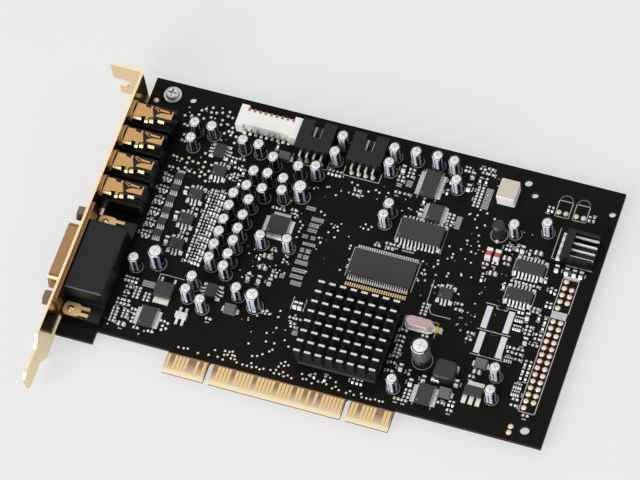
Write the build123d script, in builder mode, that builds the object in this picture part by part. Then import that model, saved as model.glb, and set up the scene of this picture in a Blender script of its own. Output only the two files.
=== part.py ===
from build123d import *
import os
from collections import namedtuple

# A sound card for a desktop computer, lying on its solder side. Board coordinates run from the
# board's left edge, its main lower edge and its upper face. All sizes are in millimetres.

# Circuit board
board_length = 169.3
board_height = 98.43
board_thickness = 1.57
corner_tab_length = 13.4
corner_tab_depth = 4.8
tongue_left = 39.5
tongue_length = 79.5
tongue_depth = 8.25
bevel_length = 1.8
bevel_depth = 0.5
key_width = 1.9
key_top = -0.3
contact_pitch = 1.27
contact_inset = 0.83
contact_width = 0.95
contact_length = 5.1
contact_top = -1.2
contact_thickness = 0.06
contact_count = 62
key_contacts = ((12, 13), (50, 51))
blank_contacts = (2, 7, 8, 10, 14, 19, 25, 31, 36, 39, 41, 43, 54, 59, 60)
BoardHole = namedtuple("BoardHole", "x y diameter")
board_holes = [
    BoardHole(15.0, 93.3, 2.4),
    BoardHole(board_length - 33.0, 93.7, 2.8),
    BoardHole(board_length - 29.5, 89.7, 2.4),
    BoardHole(board_length - 2.3, 89.8, 2.4),
    BoardHole(board_length - 7.0, 4.9, 3.2),
]

# Bracket and its screw
bracket_gap = 0.7
bracket_thickness = 0.9
bracket_width = 18.42
bracket_rise = 14.48
bracket_top = 92.3
bracket_tail_end = -27.5
bracket_bend_radius = 0.6
tab_length = 11.43
notch_width = 4.6
notch_depth = 6.2
notch_drop = 11.3
short_prong_trim = 1.6
tail_width = 10.2
tail_shoulder_start = -13.0
tail_shoulder_end = -16.5
tail_corner = 1.5
ear_length = 11.5
ear_low = 86.5
ear_high = 97.0
ear_thickness = 0.9
ear_corner = 2.0
screw_x = 7.6
screw_y = 93.1
screw_shank = 3.0
screw_fit = 0.15
screw_tip = 0.8
screw_washer = 6.2
screw_washer_height = 0.6
screw_head = 4.9
screw_head_height = 2.2
screw_head_round = 0.8
recess_arm = 2.9
recess_width = 0.7
recess_depth = 1.1

# Audio jacks, from the lowest up
jack_count = 4
jack_first_y = 49.0
jack_pitch = 10.1
jack_width = 9.0
jack_length = 14.2
jack_front_gap = 0.1
jack_shoulder = 7.6
jack_ridge_width = 4.8
jack_ridge_top = 10.9
jack_axis = 5.3
jack_bore = 3.7
jack_bore_end_wall = 1.4
ferrule_diameter = 6.0
ferrule_rim_diameter = 7.4
ferrule_rim = 0.7
ferrule_seat = 2.0
ferrule_fit = 0.1
spring_thickness = 0.25
front_spring_start = 0.5
front_spring_length = 7.6
front_spring_cut = 3.6
front_spring_cut_width = 1.9
front_flange_length = 3.6
front_flange_drop = 1.1
prong_width = 1.0
prong_drop = 2.9
prong_starts = (4.6, 6.6)
rear_spring_start = 9.2
rear_spring_length = 4.6
rear_spring_hole = 0.9
rear_flange_start = 0.3
rear_flange_length = 2.6
rear_flange_drop = 1.3

# D connector
connector_y = 21.0
connector_axis = 6.3
flange_length = 39.1
flange_height = 12.4
flange_thickness = 0.8
flange_corner = 1.0
shell_wide = 24.7
shell_narrow = 22.0
shell_height = 8.0
shell_corner = 2.2
shell_wall = 0.5
shell_reach = 5.9
shell_fit = 0.2
insulator_fit = 0.04
insulator_recess = 0.4
socket_rows = ((9, 2.1), (9, 0.0), (8, -2.1))
socket_pitch = 2.29
socket_hole = 1.2
socket_depth = 5.0
sleeve_outside = 1.1
sleeve_inside = 0.75
sleeve_recess = 0.5
jackscrew_spacing = 33.3
jackscrew_hex = 4.8
jackscrew_stud = 2.9
jackscrew_reach = 4.4
jackscrew_bore = 2.2
jackscrew_bore_depth = 3.6
jackscrew_fit = 0.2
housing_length = 13.8
housing_width = 39.2
ledge_height = 2.9
block_width = 26.6
block_height = 11.6
block_edge = 0.5
lock_width = 4.8
lock_plate_start = 0.5
lock_plate_length = 6.3
lock_prong_length = 2.9
lock_slot_width = 1.3
lock_thickness = 0.7
lock_corner = 1.6
lock_outset = 2.5

# White wire header
wire_header_x = 33.5
wire_header_y = 85.7
wire_header_length = 22.3
wire_header_depth = 8.3
wire_header_height = 5.0
wire_tower_width = 2.8
wire_header_front_step = 0.9
wire_roof_depth = 6.0
wire_wall = 1.0
wire_pin_count = 9
wire_pin_pitch = 2.0
wire_pin_size = 0.5
wire_pin_level = 2.3
wire_pin_end_gap = 1.0
wire_lead_out = 0.8

# Black four-pin headers
audio_header_places = ((62.1, 82.8), (80.85, 82.8))
audio_header_length = 12.4
audio_header_depth = 11.4
audio_header_height = 5.7
audio_header_wall = 0.9
audio_header_back = 2.4
audio_slot_width = 3.4
audio_slot_length = 6.4
header_pin_count = 4
header_pin_pitch = 2.54
header_pin_size = 0.64
header_pin_level = 2.9
header_pin_end_gap = 1.2
header_lead_out = 2.1

# Open four-pin header at the right edge
digital_header_x = 155.5
digital_header_y = 72.6
digital_header_depth = 11.0
digital_header_length = 11.0
digital_header_height = 5.6
digital_back = 2.9
digital_wall = 0.9
digital_floor = 1.0
digital_pin_level = 3.6
digital_lead_out = 1.3

# Processor under its heat sink
sink_x = 96.2
sink_y = 20.65
fin_count = 8
fin_pitch = 3.77
fin_length = 2.2
fin_width = 0.78
sink_base = 1.8
sink_top = 10.0
processor_side = 27.0
processor_height = 1.7
processor_lift = 0.35
pad_side = 25.0
pad_thickness = 0.25

# Moulded chips: length runs along the lead rows, reach is from lead tip to lead tip
Package = namedtuple("Package", "length width height pitch count reach lead")
so8 = Package(4.9, 3.9, 1.55, 1.27, 4, 6.8, 0.55)
so14 = Package(8.9, 4.4, 1.6, 1.27, 7, 7.6, 0.6)
so16 = Package(10.1, 4.4, 1.6, 1.27, 8, 7.6, 0.6)
so24 = Package(15.4, 7.5, 2.3, 1.27, 12, 10.4, 0.5)
ssop18 = Package(6.3, 5.2, 1.7, 0.65, 9, 7.8, 0.3)
ssop20 = Package(7.2, 5.2, 1.7, 0.65, 10, 7.8, 0.3)
ssop28 = Package(10.2, 5.3, 1.8, 0.65, 14, 8.2, 0.3)
tsop54 = Package(22.2, 10.2, 1.2, 0.8, 27, 12.2, 0.38)
quad48 = Package(7.0, 7.0, 1.4, 0.5, 12, 9.4, 0.24)
sot8 = Package(3.0, 2.5, 1.1, 0.7, 4, 4.2, 0.35)
chip_lift = 0.12
chip_draft = 7
lead_level = 0.55
lead_thickness = 0.16
lead_shoulder = 0.22
lead_foot = 0.45
memory_places = [(98.9, 48.5)]
codec_places = [(59.6, 54.5)]
converter_kinds = [
    (ssop28, [(104.6, 83.6)]),
    (ssop18, [(109.4, 73.3)]),
    (ssop20, [(28.3, 9.3), (126.8, 7.6)]),
]
amplifier_upright = [(28.6, 58.0), (28.6, 48.1), (28.6, 38.2), (33.3, 68.7), (122.3, 45.2)]
amplifier_turned = [(31.0, 76.4), (46.0, 24.6)]
logic_kinds = [
    (so16, [(146.6, 62.2)]),
    (so14, [(146.1, 51.4)]),
    (so24, [(107.3, 64.8)]),
]
muting_x = 20.8
muting_first_y = 40.6
muting_pitch = 4.5
muting_count = 6

# Two regulators: a wide one with its tab downwards and a narrow one with its tab upwards
wide_regulator_x = 30.6
wide_regulator_y = 20.2
wide_body_length = 6.5
wide_body_width = 5.6
wide_body_height = 2.3
wide_tab_width = 5.4
wide_tab_reach = 2.1
wide_tab_thickness = 0.5
wide_lead_pitch = 2.3
wide_lead_width = 0.75
wide_lead_reach = 2.3
narrow_regulator_x = 142.1
narrow_regulator_y = 13.3
narrow_body_length = 6.5
narrow_body_width = 3.5
narrow_body_height = 1.7
narrow_tab_width = 5.6
narrow_tab_reach = 1.9
narrow_lead_pitch = 2.4
narrow_lead_width = 1.5
narrow_lead_reach = 2.9
strip_thickness = 0.3

# Electrolytic capacitors, by their bases
Can = namedtuple("Can", "diameter height lead_gap places")
small_can_places = [
    (20.6, 81.6), (26.8, 81.8), (21.3, 75.6), (38.9, 79.6), (44.7, 79.4), (51.1, 76.1),
    (60.5, 75.1), (66.2, 76.7), (46.4, 69.2), (51.3, 69.6), (57.1, 69.2), (58.1, 64.7),
    (51.4, 63.5), (45.9, 63.2), (71.5, 90.3), (70.7, 83.8), (89.9, 90.7), (89.9, 84.8),
    (97.5, 91.2), (105.0, 91.6), (111.0, 91.3), (113.9, 84.6), (94.7, 69.8), (94.2, 65.2),
    (56.6, 46.3), (65.8, 47.3), (18.1, 26.5), (39.5, 25.3), (39.0, 20.1), (45.0, 17.6),
    (55.3, 25.3), (148.3, 77.1), (137.8, 73.6), (116.0, 7.4), (147.5, 20.8), (148.4, 12.6),
]
column_can_places = [
    (42.6, 59.2), (42.6, 54.3), (42.6, 48.8), (42.6, 44.0), (42.6, 38.9), (42.6, 33.7),
    (48.4, 58.2), (48.4, 52.1), (48.4, 46.8), (48.4, 42.0), (48.4, 36.7), (48.4, 31.9),
]
can_sizes = [
    Can(4.0, 7.7, 1.5, small_can_places + column_can_places),
    Can(5.0, 8.2, 2.0, [(63.8, 67.4)]),
    Can(5.0, 9.7, 2.0, [(25.0, 29.7), (61.9, 23.2)]),
    Can(6.3, 11.5, 2.5, [(122.2, 19.8)]),
]
can_lift = 0.3
sleeve_thickness = 0.12
sleeve_fit = 0.02
sleeve_drop = 0.35
can_tail = 0.6

# Single parts
crystal_x = 117.5
crystal_y = 31.6
crystal_length = 10.4
crystal_width = 4.4
crystal_height = 3.5
crystal_rim = 0.35
crystal_rim_height = 0.5
film_x = 131.4
film_y = 86.8
film_length = 6.4
film_width = 7.4
film_height = 5.3
film_edge = 0.4
coil_x = 131.2
coil_y = 17.0
coil_length = 7.4
coil_width = 7.0
coil_height = 4.5
coil_corner = 1.8
coil_edge = 0.8
drum_x = 132.7
drum_y = 71.8
drum_diameter = 4.4
drum_height = 7.5
drum_edge = 0.8
filter_x = 39.2
filter_y = 12.9
filter_length = 4.0
filter_width = 2.0
filter_height = 1.6
filter_leg_width = 0.9
filter_leg_pitch = 2.1
filter_leg_reach = 2.3
tantalum_x = 123.9
tantalum_y = 31.6
tantalum_length = 2.2
tantalum_width = 2.0
tantalum_height = 1.1
diode_places = [(141.4, 23.6), (53.1, 80.2), (54.3, 19.7), (133.1, 10.1)]
diode_length = 4.4
diode_width = 3.4
diode_height = 2.1
bead_places = [(131.6, 63.7), (134.6, 63.7)]
bead_length = 2.0
bead_width = 4.2
bead_height = 1.5
array_places = [(148.6, 43.2), (148.8, 39.9), (149.5, 27.9), (155.4, 19.5), (155.4, 16.8)]
array_length = 3.0
array_width = 1.6
array_height = 0.6

# Chip resistors and capacitors: "lying" along the board's length, "standing" across it
chip_length = 1.6
chip_width = 0.8
resistor_height = 0.45
capacitor_height = 0.7
large_chip_length = 2.3
large_chip_width = 1.4
large_chip_height = 1.0
filter_cell_top = 61.5
filter_cell_pitch = 9.86
filter_cell_count = 3
filter_cell_lying = [
    (34.0, 0.0), (34.0, -1.1), (35.2, -2.4), (35.2, -3.6), (35.2, -4.9), (35.2, -6.0), (34.0, -7.3), (34.0, -8.5),
]
filter_cell_standing = [
    (35.8, -0.7), (37.0, -0.6), (38.2, -0.8), (33.4, -3.1), (37.0, -3.1), (38.2, -3.3),
    (33.4, -5.6), (37.0, -5.6), (38.2, -5.8), (35.8, -8.0), (37.0, -8.0), (38.2, -8.2),
]
muting_cell_standing = [(15.6, -0.9), (16.9, -0.9), (18.2, -1.1)]
muting_cell_lying = [(16.8, -2.6)]
bus_column_x = 121.6
bus_column_low = 80.2
bus_column_pitch = 1.2
bus_column_count = 7
edge_column_x = 113.0
edge_column_rows = (28.7, 26.2, 24.5, 22.7, 21.3, 20.0, 18.6, 16.2, 13.1)
lying_resistors = [
    (18.2, 18.6), (18.2, 16.3), (21.6, 19.1), (21.6, 17.9), (21.6, 16.7), (21.6, 15.5),
    (17.0, 13.5), (19.4, 13.5), (17.0, 12.0), (19.8, 12.0), (25.4, 17.8), (25.4, 16.6),
    (38.6, 72.0), (39.2, 69.5), (39.2, 68.3), (29.9, 53.0), (29.9, 43.2), (39.2, 75.6),
    (81.0, 74.8), (81.0, 73.1), (75.2, 22.8), (77.6, 22.8), (76.2, 20.8), (76.6, 19.6),
    (97.8, 58.4), (100.5, 58.4), (103.8, 58.4), (106.3, 58.4), (96.8, 87.7), (96.8, 86.3),
    (96.8, 84.9), (94.0, 84.0), (94.0, 82.6), (94.6, 78.0), (97.8, 78.0), (115.1, 74.7),
    (115.1, 73.4), (115.1, 72.0), (115.1, 70.7), (116.9, 40.0), (116.9, 38.7), (117.0, 37.4),
    (117.0, 36.2), (127.8, 43.2), (127.8, 41.0), (121.0, 93.1), (120.2, 28.6), (142.6, 56.4),
    (145.2, 56.4), (147.7, 56.4), (150.3, 56.4), (152.6, 41.4), (152.6, 40.0), (152.6, 38.7),
    (121.0, 8.0), (121.0, 6.7), (121.0, 5.4), (152.3, 32.5), (152.1, 30.7), (152.9, 47.2),
    (25.4, 15.4), (16.8, 8.6), (20.5, 8.6), (16.8, 6.2), (123.2, 93.1), (119.9, 94.4),
    (149.4, 32.4), (149.2, 30.8), (152.4, 28.7), (156.4, 39.4), (156.4, 37.8), (156.4, 35.3),
    (156.0, 12.4), (160.9, 9.9), (134.3, 33.9), (134.5, 31.5), (134.5, 61.0), (132.6, 6.6),
]
standing_resistors = [
    (16.2, 21.5), (17.4, 21.5), (18.7, 21.5), (20.1, 21.5), (40.2, 72.4), (41.4, 71.2),
    (37.6, 68.2), (41.2, 66.8), (36.0, 74.7), (37.3, 74.6), (69.6, 79.2), (70.9, 79.2),
    (72.3, 79.2), (73.6, 79.2), (102.4, 6.3), (103.9, 6.3), (105.3, 6.3), (136.6, 67.9),
    (137.8, 67.9), (147.2, 85.9), (160.2, 85.9), (155.7, 51.0), (157.1, 51.0), (157.1, 56.2),
    (157.1, 45.0), (157.1, 42.5), (157.1, 28.4), (157.1, 25.8), (157.1, 23.2), (147.7, 46.4),
    (149.0, 46.4), (119.4, 14.4), (135.6, 7.3), (136.9, 7.3), (89.5, 4.4), (93.2, 4.4),
    (155.4, 28.4), (155.4, 25.8), (155.4, 23.2), (114.4, 93.0), (115.6, 93.0), (122.4, 90.4),
]
lying_capacitors = [
    (16.8, 9.8), (20.5, 9.8), (16.8, 7.4), (20.5, 7.4), (16.8, 5.0), (22.8, 11.0),
    (25.7, 4.6), (30.9, 4.6),
    (56.2, 60.8), (58.8, 60.8), (62.8, 61.7), (61.2, 45.2), (94.3, 56.6), (99.0, 56.6),
    (48.2, 14.6), (120.8, 4.0), (118.2, 4.0), (138.3, 61.8), (131.4, 59.9), (139.7, 18.6),
    (122.6, 95.0), (152.9, 48.4), (136.3, 4.7), (156.0, 14.6),
]
standing_capacitors = [
    (49.5, 84.2), (104.3, 77.4), (110.9, 82.7), (110.9, 87.0), (132.0, 54.3), (140.0, 54.0),
    (152.9, 59.6), (57.4, 41.6), (63.6, 36.6), (65.0, 36.6), (140.3, 68.6), (144.7, 68.2),
    (145.9, 85.9), (161.7, 85.9), (155.7, 56.6), (154.8, 45.8), (120.3, 90.3),
]
lying_large = [
    (59.6, 42.4), (59.6, 37.8), (135.0, 57.0), (137.9, 63.8), (147.5, 68.6), (140.9, 20.6),
    (20.6, 4.6),
]
standing_large = [
    (24.7, 58.9), (24.7, 49.0), (24.7, 39.1), (117.4, 91.0), (117.4, 86.2), (74.9, 27.6),
    (76.6, 27.6), (116.2, 15.3), (121.0, 10.9), (142.0, 68.6), (155.1, 64.8), (158.6, 64.6),
    (56.2, 33.4), (59.9, 33.4), (63.7, 33.4), (104.6, 72.6), (124.8, 13.3),
    (161.3, 64.6), (163.6, 64.6), (135.7, 14.8), (153.0, 35.9), (93.9, 87.2), (151.0, 44.9),
]

# Trimmed leads under the board
tail_length = 2.0
stamped_tail = 0.7
jack_tails = [(3.0, -3.4), (3.0, 3.4), (8.0, -3.4), (8.0, 3.4), (12.4, 0.0)]
connector_tail_rows = ((9, 8.2), (9, 10.2), (8, 12.2))

os.makedirs("parts", exist_ok=True)

# Frame: the origin is under the middle of the card, at the bracket's lower edge
bracket_low = bracket_rise - bracket_width
inner_x = -bracket_gap
outer_x = inner_x - bracket_thickness
tab_end_x = outer_x - tab_length
middle_x = (tab_end_x + board_length) / 2
middle_y = (bracket_tail_end + board_height) / 2
deck = Plane((-middle_x, -middle_y, -bracket_low))
underside = deck.offset(-board_thickness)


def section(x):
    """Upright plane across the card at length x: its own x runs up the board, its y upwards."""
    return Plane(deck.from_local_coords((x, 0, 0)), x_dir=(0, 1, 0), z_dir=(1, 0, 0))


def elevation(y):
    """Upright plane along the card at height y, facing the lower edge: its y runs upwards."""
    return Plane(deck.from_local_coords((0, y, 0)), x_dir=(1, 0, 0), z_dir=(0, -1, 0))


def spread(count, pitch):
    """Offsets of like things at one pitch, centred on zero."""
    return [(index - (count - 1) / 2) * pitch for index in range(count)]


def keep(piece, name):
    """Label a finished piece and write it as its own file."""
    piece.part.label = name
    export_step(piece.part, f"parts/{name}.step")


def d_face(x, margin):
    """D-shaped face of the connector's shell at length x, grown by margin; narrow side up."""
    with BuildSketch(section(x)) as face:
        with BuildLine():
            Polyline(
                (connector_y - shell_wide / 2, connector_axis - shell_height / 2),
                (connector_y + shell_wide / 2, connector_axis - shell_height / 2),
                (connector_y + shell_narrow / 2, connector_axis + shell_height / 2),
                (connector_y - shell_narrow / 2, connector_axis + shell_height / 2),
                close=True,
            )
        make_face()
        fillet(face.vertices(), shell_corner)
        if margin:
            offset(amount=margin, mode=Mode.REPLACE)
    return face.sketch


def two_row_planes(package, places, turned):
    """An upright plane through each lead of two-row chips, its x pointing away from the chip."""
    planes = []
    for x, y in places:
        for along in spread(package.count, package.pitch):
            for side in (1, -1):
                start = (x, y + along, 0) if turned else (x + along, y, 0)
                outwards = Vector(side, 0, 0) if turned else Vector(0, side, 0)
                normal = outwards.cross(Vector(0, 0, 1))
                planes.append(Plane(deck.from_local_coords(start), x_dir=outwards, z_dir=normal))
    return planes


def wing(package):
    """Outline of one gull-wing lead: out of the body's side, down, and out along its foot."""
    wall = package.width / 2
    tip = package.reach / 2
    level = package.height * lead_level + lead_thickness / 2
    knee = wall + lead_shoulder * (tip - wall)
    heel = tip - lead_foot * (tip - wall)
    inside = lead_thickness * lead_shoulder
    return [
        (wall, level),
        (knee, level),
        (heel, lead_thickness),
        (tip, lead_thickness),
        (tip, 0),
        (heel - inside, 0),
        (knee - inside, level - lead_thickness),
        (wall, level - lead_thickness),
    ]


# Circuit board
key_positions = [
    tongue_left + contact_inset + contact_pitch * ((first + last) / 2 - 1) for first, last in key_contacts
]
tongue_right = tongue_left + tongue_length
with BuildPart() as circuit_board:
    with BuildSketch(deck):
        with BuildLine():
            Polyline(
                (0, -corner_tab_depth),
                (corner_tab_length, -corner_tab_depth),
                (corner_tab_length, 0),
                (tongue_left, 0),
                (tongue_left, -tongue_depth),
                (tongue_right, -tongue_depth),
                (tongue_right, 0),
                (board_length, 0),
                (board_length, board_height),
                (0, board_height),
                close=True,
            )
        make_face()
        with Locations(*[(x, key_top - key_width / 2) for x in key_positions]):
            Circle(key_width / 2, mode=Mode.SUBTRACT)
            Rectangle(key_width, tongue_depth, align=(Align.CENTER, Align.MAX), mode=Mode.SUBTRACT)
        for hole in board_holes:
            with Locations((hole.x, hole.y)):
                Circle(hole.diameter / 2, mode=Mode.SUBTRACT)
        with Locations((screw_x, screw_y)):
            Circle(screw_shank / 2 + screw_fit, mode=Mode.SUBTRACT)
    extrude(amount=-board_thickness)
    with BuildSketch(section(tongue_left)):
        for face_z, inwards in ((0, -bevel_depth), (-board_thickness, bevel_depth)):
            with BuildLine():
                Polyline(
                    (-tongue_depth, face_z),
                    (-tongue_depth + bevel_length, face_z),
                    (-tongue_depth, face_z + inwards),
                    close=True,
                )
            make_face()
    extrude(amount=tongue_length, mode=Mode.SUBTRACT)
keep(circuit_board, "circuit_board")

left_out = set(blank_contacts).union(*key_contacts)
contact_places = [
    (tongue_left + contact_inset + contact_pitch * (number - 1), contact_top - contact_length / 2)
    for number in range(1, contact_count + 1)
    if number not in left_out
]
with BuildPart() as edge_contacts:
    with BuildSketch(deck):
        with Locations(*contact_places):
            Rectangle(contact_width, contact_length)
    extrude(amount=contact_thickness)
    with BuildSketch(underside):
        with Locations(*contact_places):
            Rectangle(contact_width, contact_length)
    extrude(amount=-contact_thickness)
keep(edge_contacts, "edge_contacts")

# Bracket
jack_rows = [jack_first_y + index * jack_pitch for index in range(jack_count)]
jackscrew_rows = [connector_y + along for along in spread(2, jackscrew_spacing)]
notch_z = bracket_rise - notch_drop
strip_middle = bracket_rise - bracket_width / 2
with BuildPart() as bracket:
    with BuildSketch(deck.offset(bracket_low)) as fold:
        with BuildLine():
            Polyline(
                (inner_x, bracket_tail_end),
                (inner_x, bracket_top),
                (tab_end_x, bracket_top),
                (tab_end_x, bracket_top - bracket_thickness),
                (outer_x, bracket_top - bracket_thickness),
                (outer_x, bracket_tail_end),
                close=True,
            )
        make_face()
        outer_bend = fold.vertices().sort_by_distance((inner_x, bracket_top))[0]
        fillet(outer_bend, bracket_bend_radius + bracket_thickness)
        inner_bend = fold.vertices().sort_by_distance((outer_x, bracket_top - bracket_thickness))[0]
        fillet(inner_bend, bracket_bend_radius)
    extrude(amount=bracket_width)
    with BuildSketch(elevation(bracket_top)):
        with Locations((tab_end_x + notch_depth - notch_width / 2, notch_z)):
            Circle(notch_width / 2)
            Rectangle(notch_depth, notch_width, align=(Align.MAX, Align.CENTER))
        with Locations((tab_end_x, bracket_low)):
            Rectangle(short_prong_trim, notch_z - bracket_low, align=Align.MIN)
    extrude(amount=bracket_thickness, mode=Mode.SUBTRACT)
    with BuildSketch(section(outer_x)):
        for side in (1, -1):
            edge = strip_middle + side * bracket_width / 2
            flank = strip_middle + side * tail_width / 2
            with BuildLine():
                Polyline(
                    (bracket_tail_end, edge),
                    (tail_shoulder_start, edge),
                    (tail_shoulder_end, flank),
                    (bracket_tail_end + tail_corner, flank),
                    (bracket_tail_end, flank - side * tail_corner),
                    close=True,
                )
            make_face()
        with Locations(*[(y, jack_axis) for y in jack_rows]):
            Circle(ferrule_diameter / 2 + ferrule_fit)
        with Locations(*[(y, connector_axis) for y in jackscrew_rows]):
            Circle(jackscrew_stud / 2 + jackscrew_fit)
    extrude(amount=bracket_thickness, mode=Mode.SUBTRACT)
    extrude(d_face(outer_x, shell_fit), amount=bracket_thickness, mode=Mode.SUBTRACT)
    with BuildSketch(underside) as ear:
        with Locations((inner_x, ear_low)):
            Rectangle(ear_length, ear_high - ear_low, align=Align.MIN)
        fillet(ear.vertices().group_by(Axis.X)[-1], ear_corner)
        with Locations((screw_x, screw_y)):
            Circle(screw_shank / 2 + screw_fit, mode=Mode.SUBTRACT)
    extrude(amount=-ear_thickness)
keep(bracket, "bracket")

with BuildPart() as bracket_screw:
    with BuildSketch(deck):
        with Locations((screw_x, screw_y)):
            Circle(screw_washer / 2)
    extrude(amount=screw_washer_height)
    with BuildSketch(deck):
        with Locations((screw_x, screw_y)):
            Circle(screw_head / 2)
    extrude(amount=screw_head_height)
    fillet(bracket_screw.edges().group_by(Axis.Z)[-1], screw_head_round)
    with BuildSketch(deck):
        with Locations((screw_x, screw_y)):
            Circle(screw_shank / 2)
    extrude(amount=-(board_thickness + ear_thickness + screw_tip))
    with BuildSketch(deck.offset(screw_head_height)):
        with Locations((screw_x, screw_y)):
            Rectangle(recess_arm, recess_width)
            Rectangle(recess_width, recess_arm)
    extrude(amount=-recess_depth, mode=Mode.SUBTRACT)
keep(bracket_screw, "bracket_screw")

# Audio jacks
jack_front = inner_x + jack_front_gap
ferrule_start = outer_x - ferrule_rim
spring_side = jack_ridge_width / 2
for number, row in enumerate(jack_rows, 1):
    with BuildPart() as jack_housing:
        with BuildSketch(section(jack_front)):
            with Locations((row, 0)):
                Rectangle(jack_width, jack_shoulder, align=(Align.CENTER, Align.MIN))
                Rectangle(jack_ridge_width, jack_ridge_top, align=(Align.CENTER, Align.MIN))
        extrude(amount=jack_length)
        with BuildSketch(section(jack_front)):
            with Locations((row, jack_axis)):
                Circle(jack_bore / 2)
        extrude(amount=jack_length - jack_bore_end_wall, mode=Mode.SUBTRACT)
        with BuildSketch(section(jack_front)):
            with Locations((row, jack_axis)):
                Circle(ferrule_diameter / 2 + ferrule_fit)
        extrude(amount=ferrule_seat, mode=Mode.SUBTRACT)
    keep(jack_housing, f"jack_{number}_housing")

    with BuildPart() as jack_ferrule:
        with BuildSketch(section(ferrule_start)):
            with Locations((row, jack_axis)):
                Circle(ferrule_rim_diameter / 2)
        extrude(amount=ferrule_rim)
        with BuildSketch(section(ferrule_start)):
            with Locations((row, jack_axis)):
                Circle(ferrule_diameter / 2)
        extrude(amount=jack_front + ferrule_seat - ferrule_start)
        with BuildSketch(section(ferrule_start)):
            with Locations((row, jack_axis)):
                Circle(jack_bore / 2)
        extrude(amount=jack_front + ferrule_seat - ferrule_start, mode=Mode.SUBTRACT)
    keep(jack_ferrule, f"jack_{number}_ferrule")

    front_start = jack_front + front_spring_start
    rear_start = jack_front + rear_spring_start
    with BuildPart() as jack_contacts:
        with BuildSketch(deck.offset(jack_ridge_top)):
            with BuildLine():
                Polyline(
                    (front_start, row - spring_side),
                    (front_start + front_spring_length, row - spring_side),
                    (front_start + front_spring_length, row + spring_side - front_spring_cut_width),
                    (front_start + front_spring_cut, row + spring_side),
                    (front_start, row + spring_side),
                    close=True,
                )
            make_face()
            with Locations((rear_start, row - spring_side)):
                Rectangle(rear_spring_length, jack_ridge_width, align=Align.MIN)
            with Locations((rear_start + rear_spring_length - rear_spring_hole, row + spring_side / 2)):
                Circle(rear_spring_hole / 2, mode=Mode.SUBTRACT)
        extrude(amount=spring_thickness)
        spring_top = jack_ridge_top + spring_thickness
        with BuildSketch(elevation(row - spring_side)):
            with Locations((front_start, spring_top)):
                Rectangle(front_flange_length, front_flange_drop, align=(Align.MIN, Align.MAX))
            for prong_start in prong_starts:
                with Locations((jack_front + prong_start, spring_top)):
                    Rectangle(prong_width, prong_drop, align=(Align.MIN, Align.MAX))
            with Locations((rear_start + rear_flange_start, spring_top)):
                Rectangle(rear_flange_length, rear_flange_drop, align=(Align.MIN, Align.MAX))
        extrude(amount=spring_thickness)
    keep(jack_contacts, f"jack_{number}_contacts")

# D connector
flange_back = inner_x + flange_thickness
shell_front = inner_x - shell_reach
with BuildPart() as connector_shell:
    with BuildSketch(section(inner_x)) as flange:
        with Locations((connector_y, connector_axis)):
            Rectangle(flange_length, flange_height)
        fillet(flange.vertices(), flange_corner)
        with Locations(*[(y, connector_axis) for y in jackscrew_rows]):
            Circle(jackscrew_stud / 2 + jackscrew_fit, mode=Mode.SUBTRACT)
    extrude(amount=flange_thickness)
    extrude(d_face(shell_front, 0), amount=shell_reach)
    extrude(d_face(shell_front, -shell_wall), amount=flange_back - shell_front, mode=Mode.SUBTRACT)
keep(connector_shell, "connector_shell")

insulator_front = shell_front + insulator_recess
socket_places = [
    (connector_y + along, connector_axis + level)
    for count, level in socket_rows
    for along in spread(count, socket_pitch)
]
with BuildPart() as connector_insulator:
    extrude(d_face(insulator_front, -shell_wall - insulator_fit), amount=flange_back - insulator_front)
    with BuildSketch(section(insulator_front)):
        with Locations(*socket_places):
            Circle(socket_hole / 2)
    extrude(amount=socket_depth, mode=Mode.SUBTRACT)
keep(connector_insulator, "connector_insulator")

with BuildPart() as connector_contacts:
    with BuildSketch(section(insulator_front + sleeve_recess)):
        with Locations(*socket_places):
            Circle(sleeve_outside / 2)
            Circle(sleeve_inside / 2, mode=Mode.SUBTRACT)
    extrude(amount=socket_depth - sleeve_recess)
keep(connector_contacts, "connector_contacts")

with BuildPart() as connector_jackscrews:
    with BuildSketch(section(outer_x)):
        with Locations(*[(y, connector_axis) for y in jackscrew_rows]):
            RegularPolygon(jackscrew_hex / 2, 6, major_radius=False)
    extrude(amount=-jackscrew_reach)
    with BuildSketch(section(outer_x)):
        with Locations(*[(y, connector_axis) for y in jackscrew_rows]):
            Circle(jackscrew_stud / 2)
    extrude(amount=flange_back - outer_x)
    with BuildSketch(section(outer_x - jackscrew_reach)):
        with Locations(*[(y, connector_axis) for y in jackscrew_rows]):
            Circle(jackscrew_bore / 2)
    extrude(amount=jackscrew_bore_depth, mode=Mode.SUBTRACT)
keep(connector_jackscrews, "connector_jackscrews")

with BuildPart() as connector_housing:
    with BuildSketch(deck):
        with Locations((flange_back, connector_y)):
            Rectangle(housing_length, housing_width, align=(Align.MIN, Align.CENTER))
    extrude(amount=ledge_height)
    with BuildSketch(deck):
        with Locations((flange_back, connector_y)):
            Rectangle(housing_length, block_width, align=(Align.MIN, Align.CENTER))
    extrude(amount=block_height)
    chamfer(connector_housing.edges().group_by(Axis.Z)[-1], block_edge)
keep(connector_housing, "connector_housing")

lock_middle = lock_plate_start + lock_plate_length
lock_rows = [connector_y + along for along in spread(2, housing_width - 2 * lock_outset)]
fork_width = lock_width - lock_slot_width
with BuildPart() as board_locks:
    with BuildSketch(deck.offset(ledge_height)):
        for y in lock_rows:
            with Locations((lock_plate_start, y)):
                RectangleRounded(lock_plate_length, lock_width, lock_corner, align=(Align.MIN, Align.CENTER))
            with Locations((lock_middle - lock_corner, y)):
                Rectangle(lock_prong_length + lock_corner, fork_width, align=(Align.MIN, Align.CENTER))
            with Locations((lock_middle, y)):
                Rectangle(
                    lock_prong_length, lock_slot_width, align=(Align.MIN, Align.CENTER), mode=Mode.SUBTRACT
                )
    extrude(amount=lock_thickness)
keep(board_locks, "board_locks")

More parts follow.
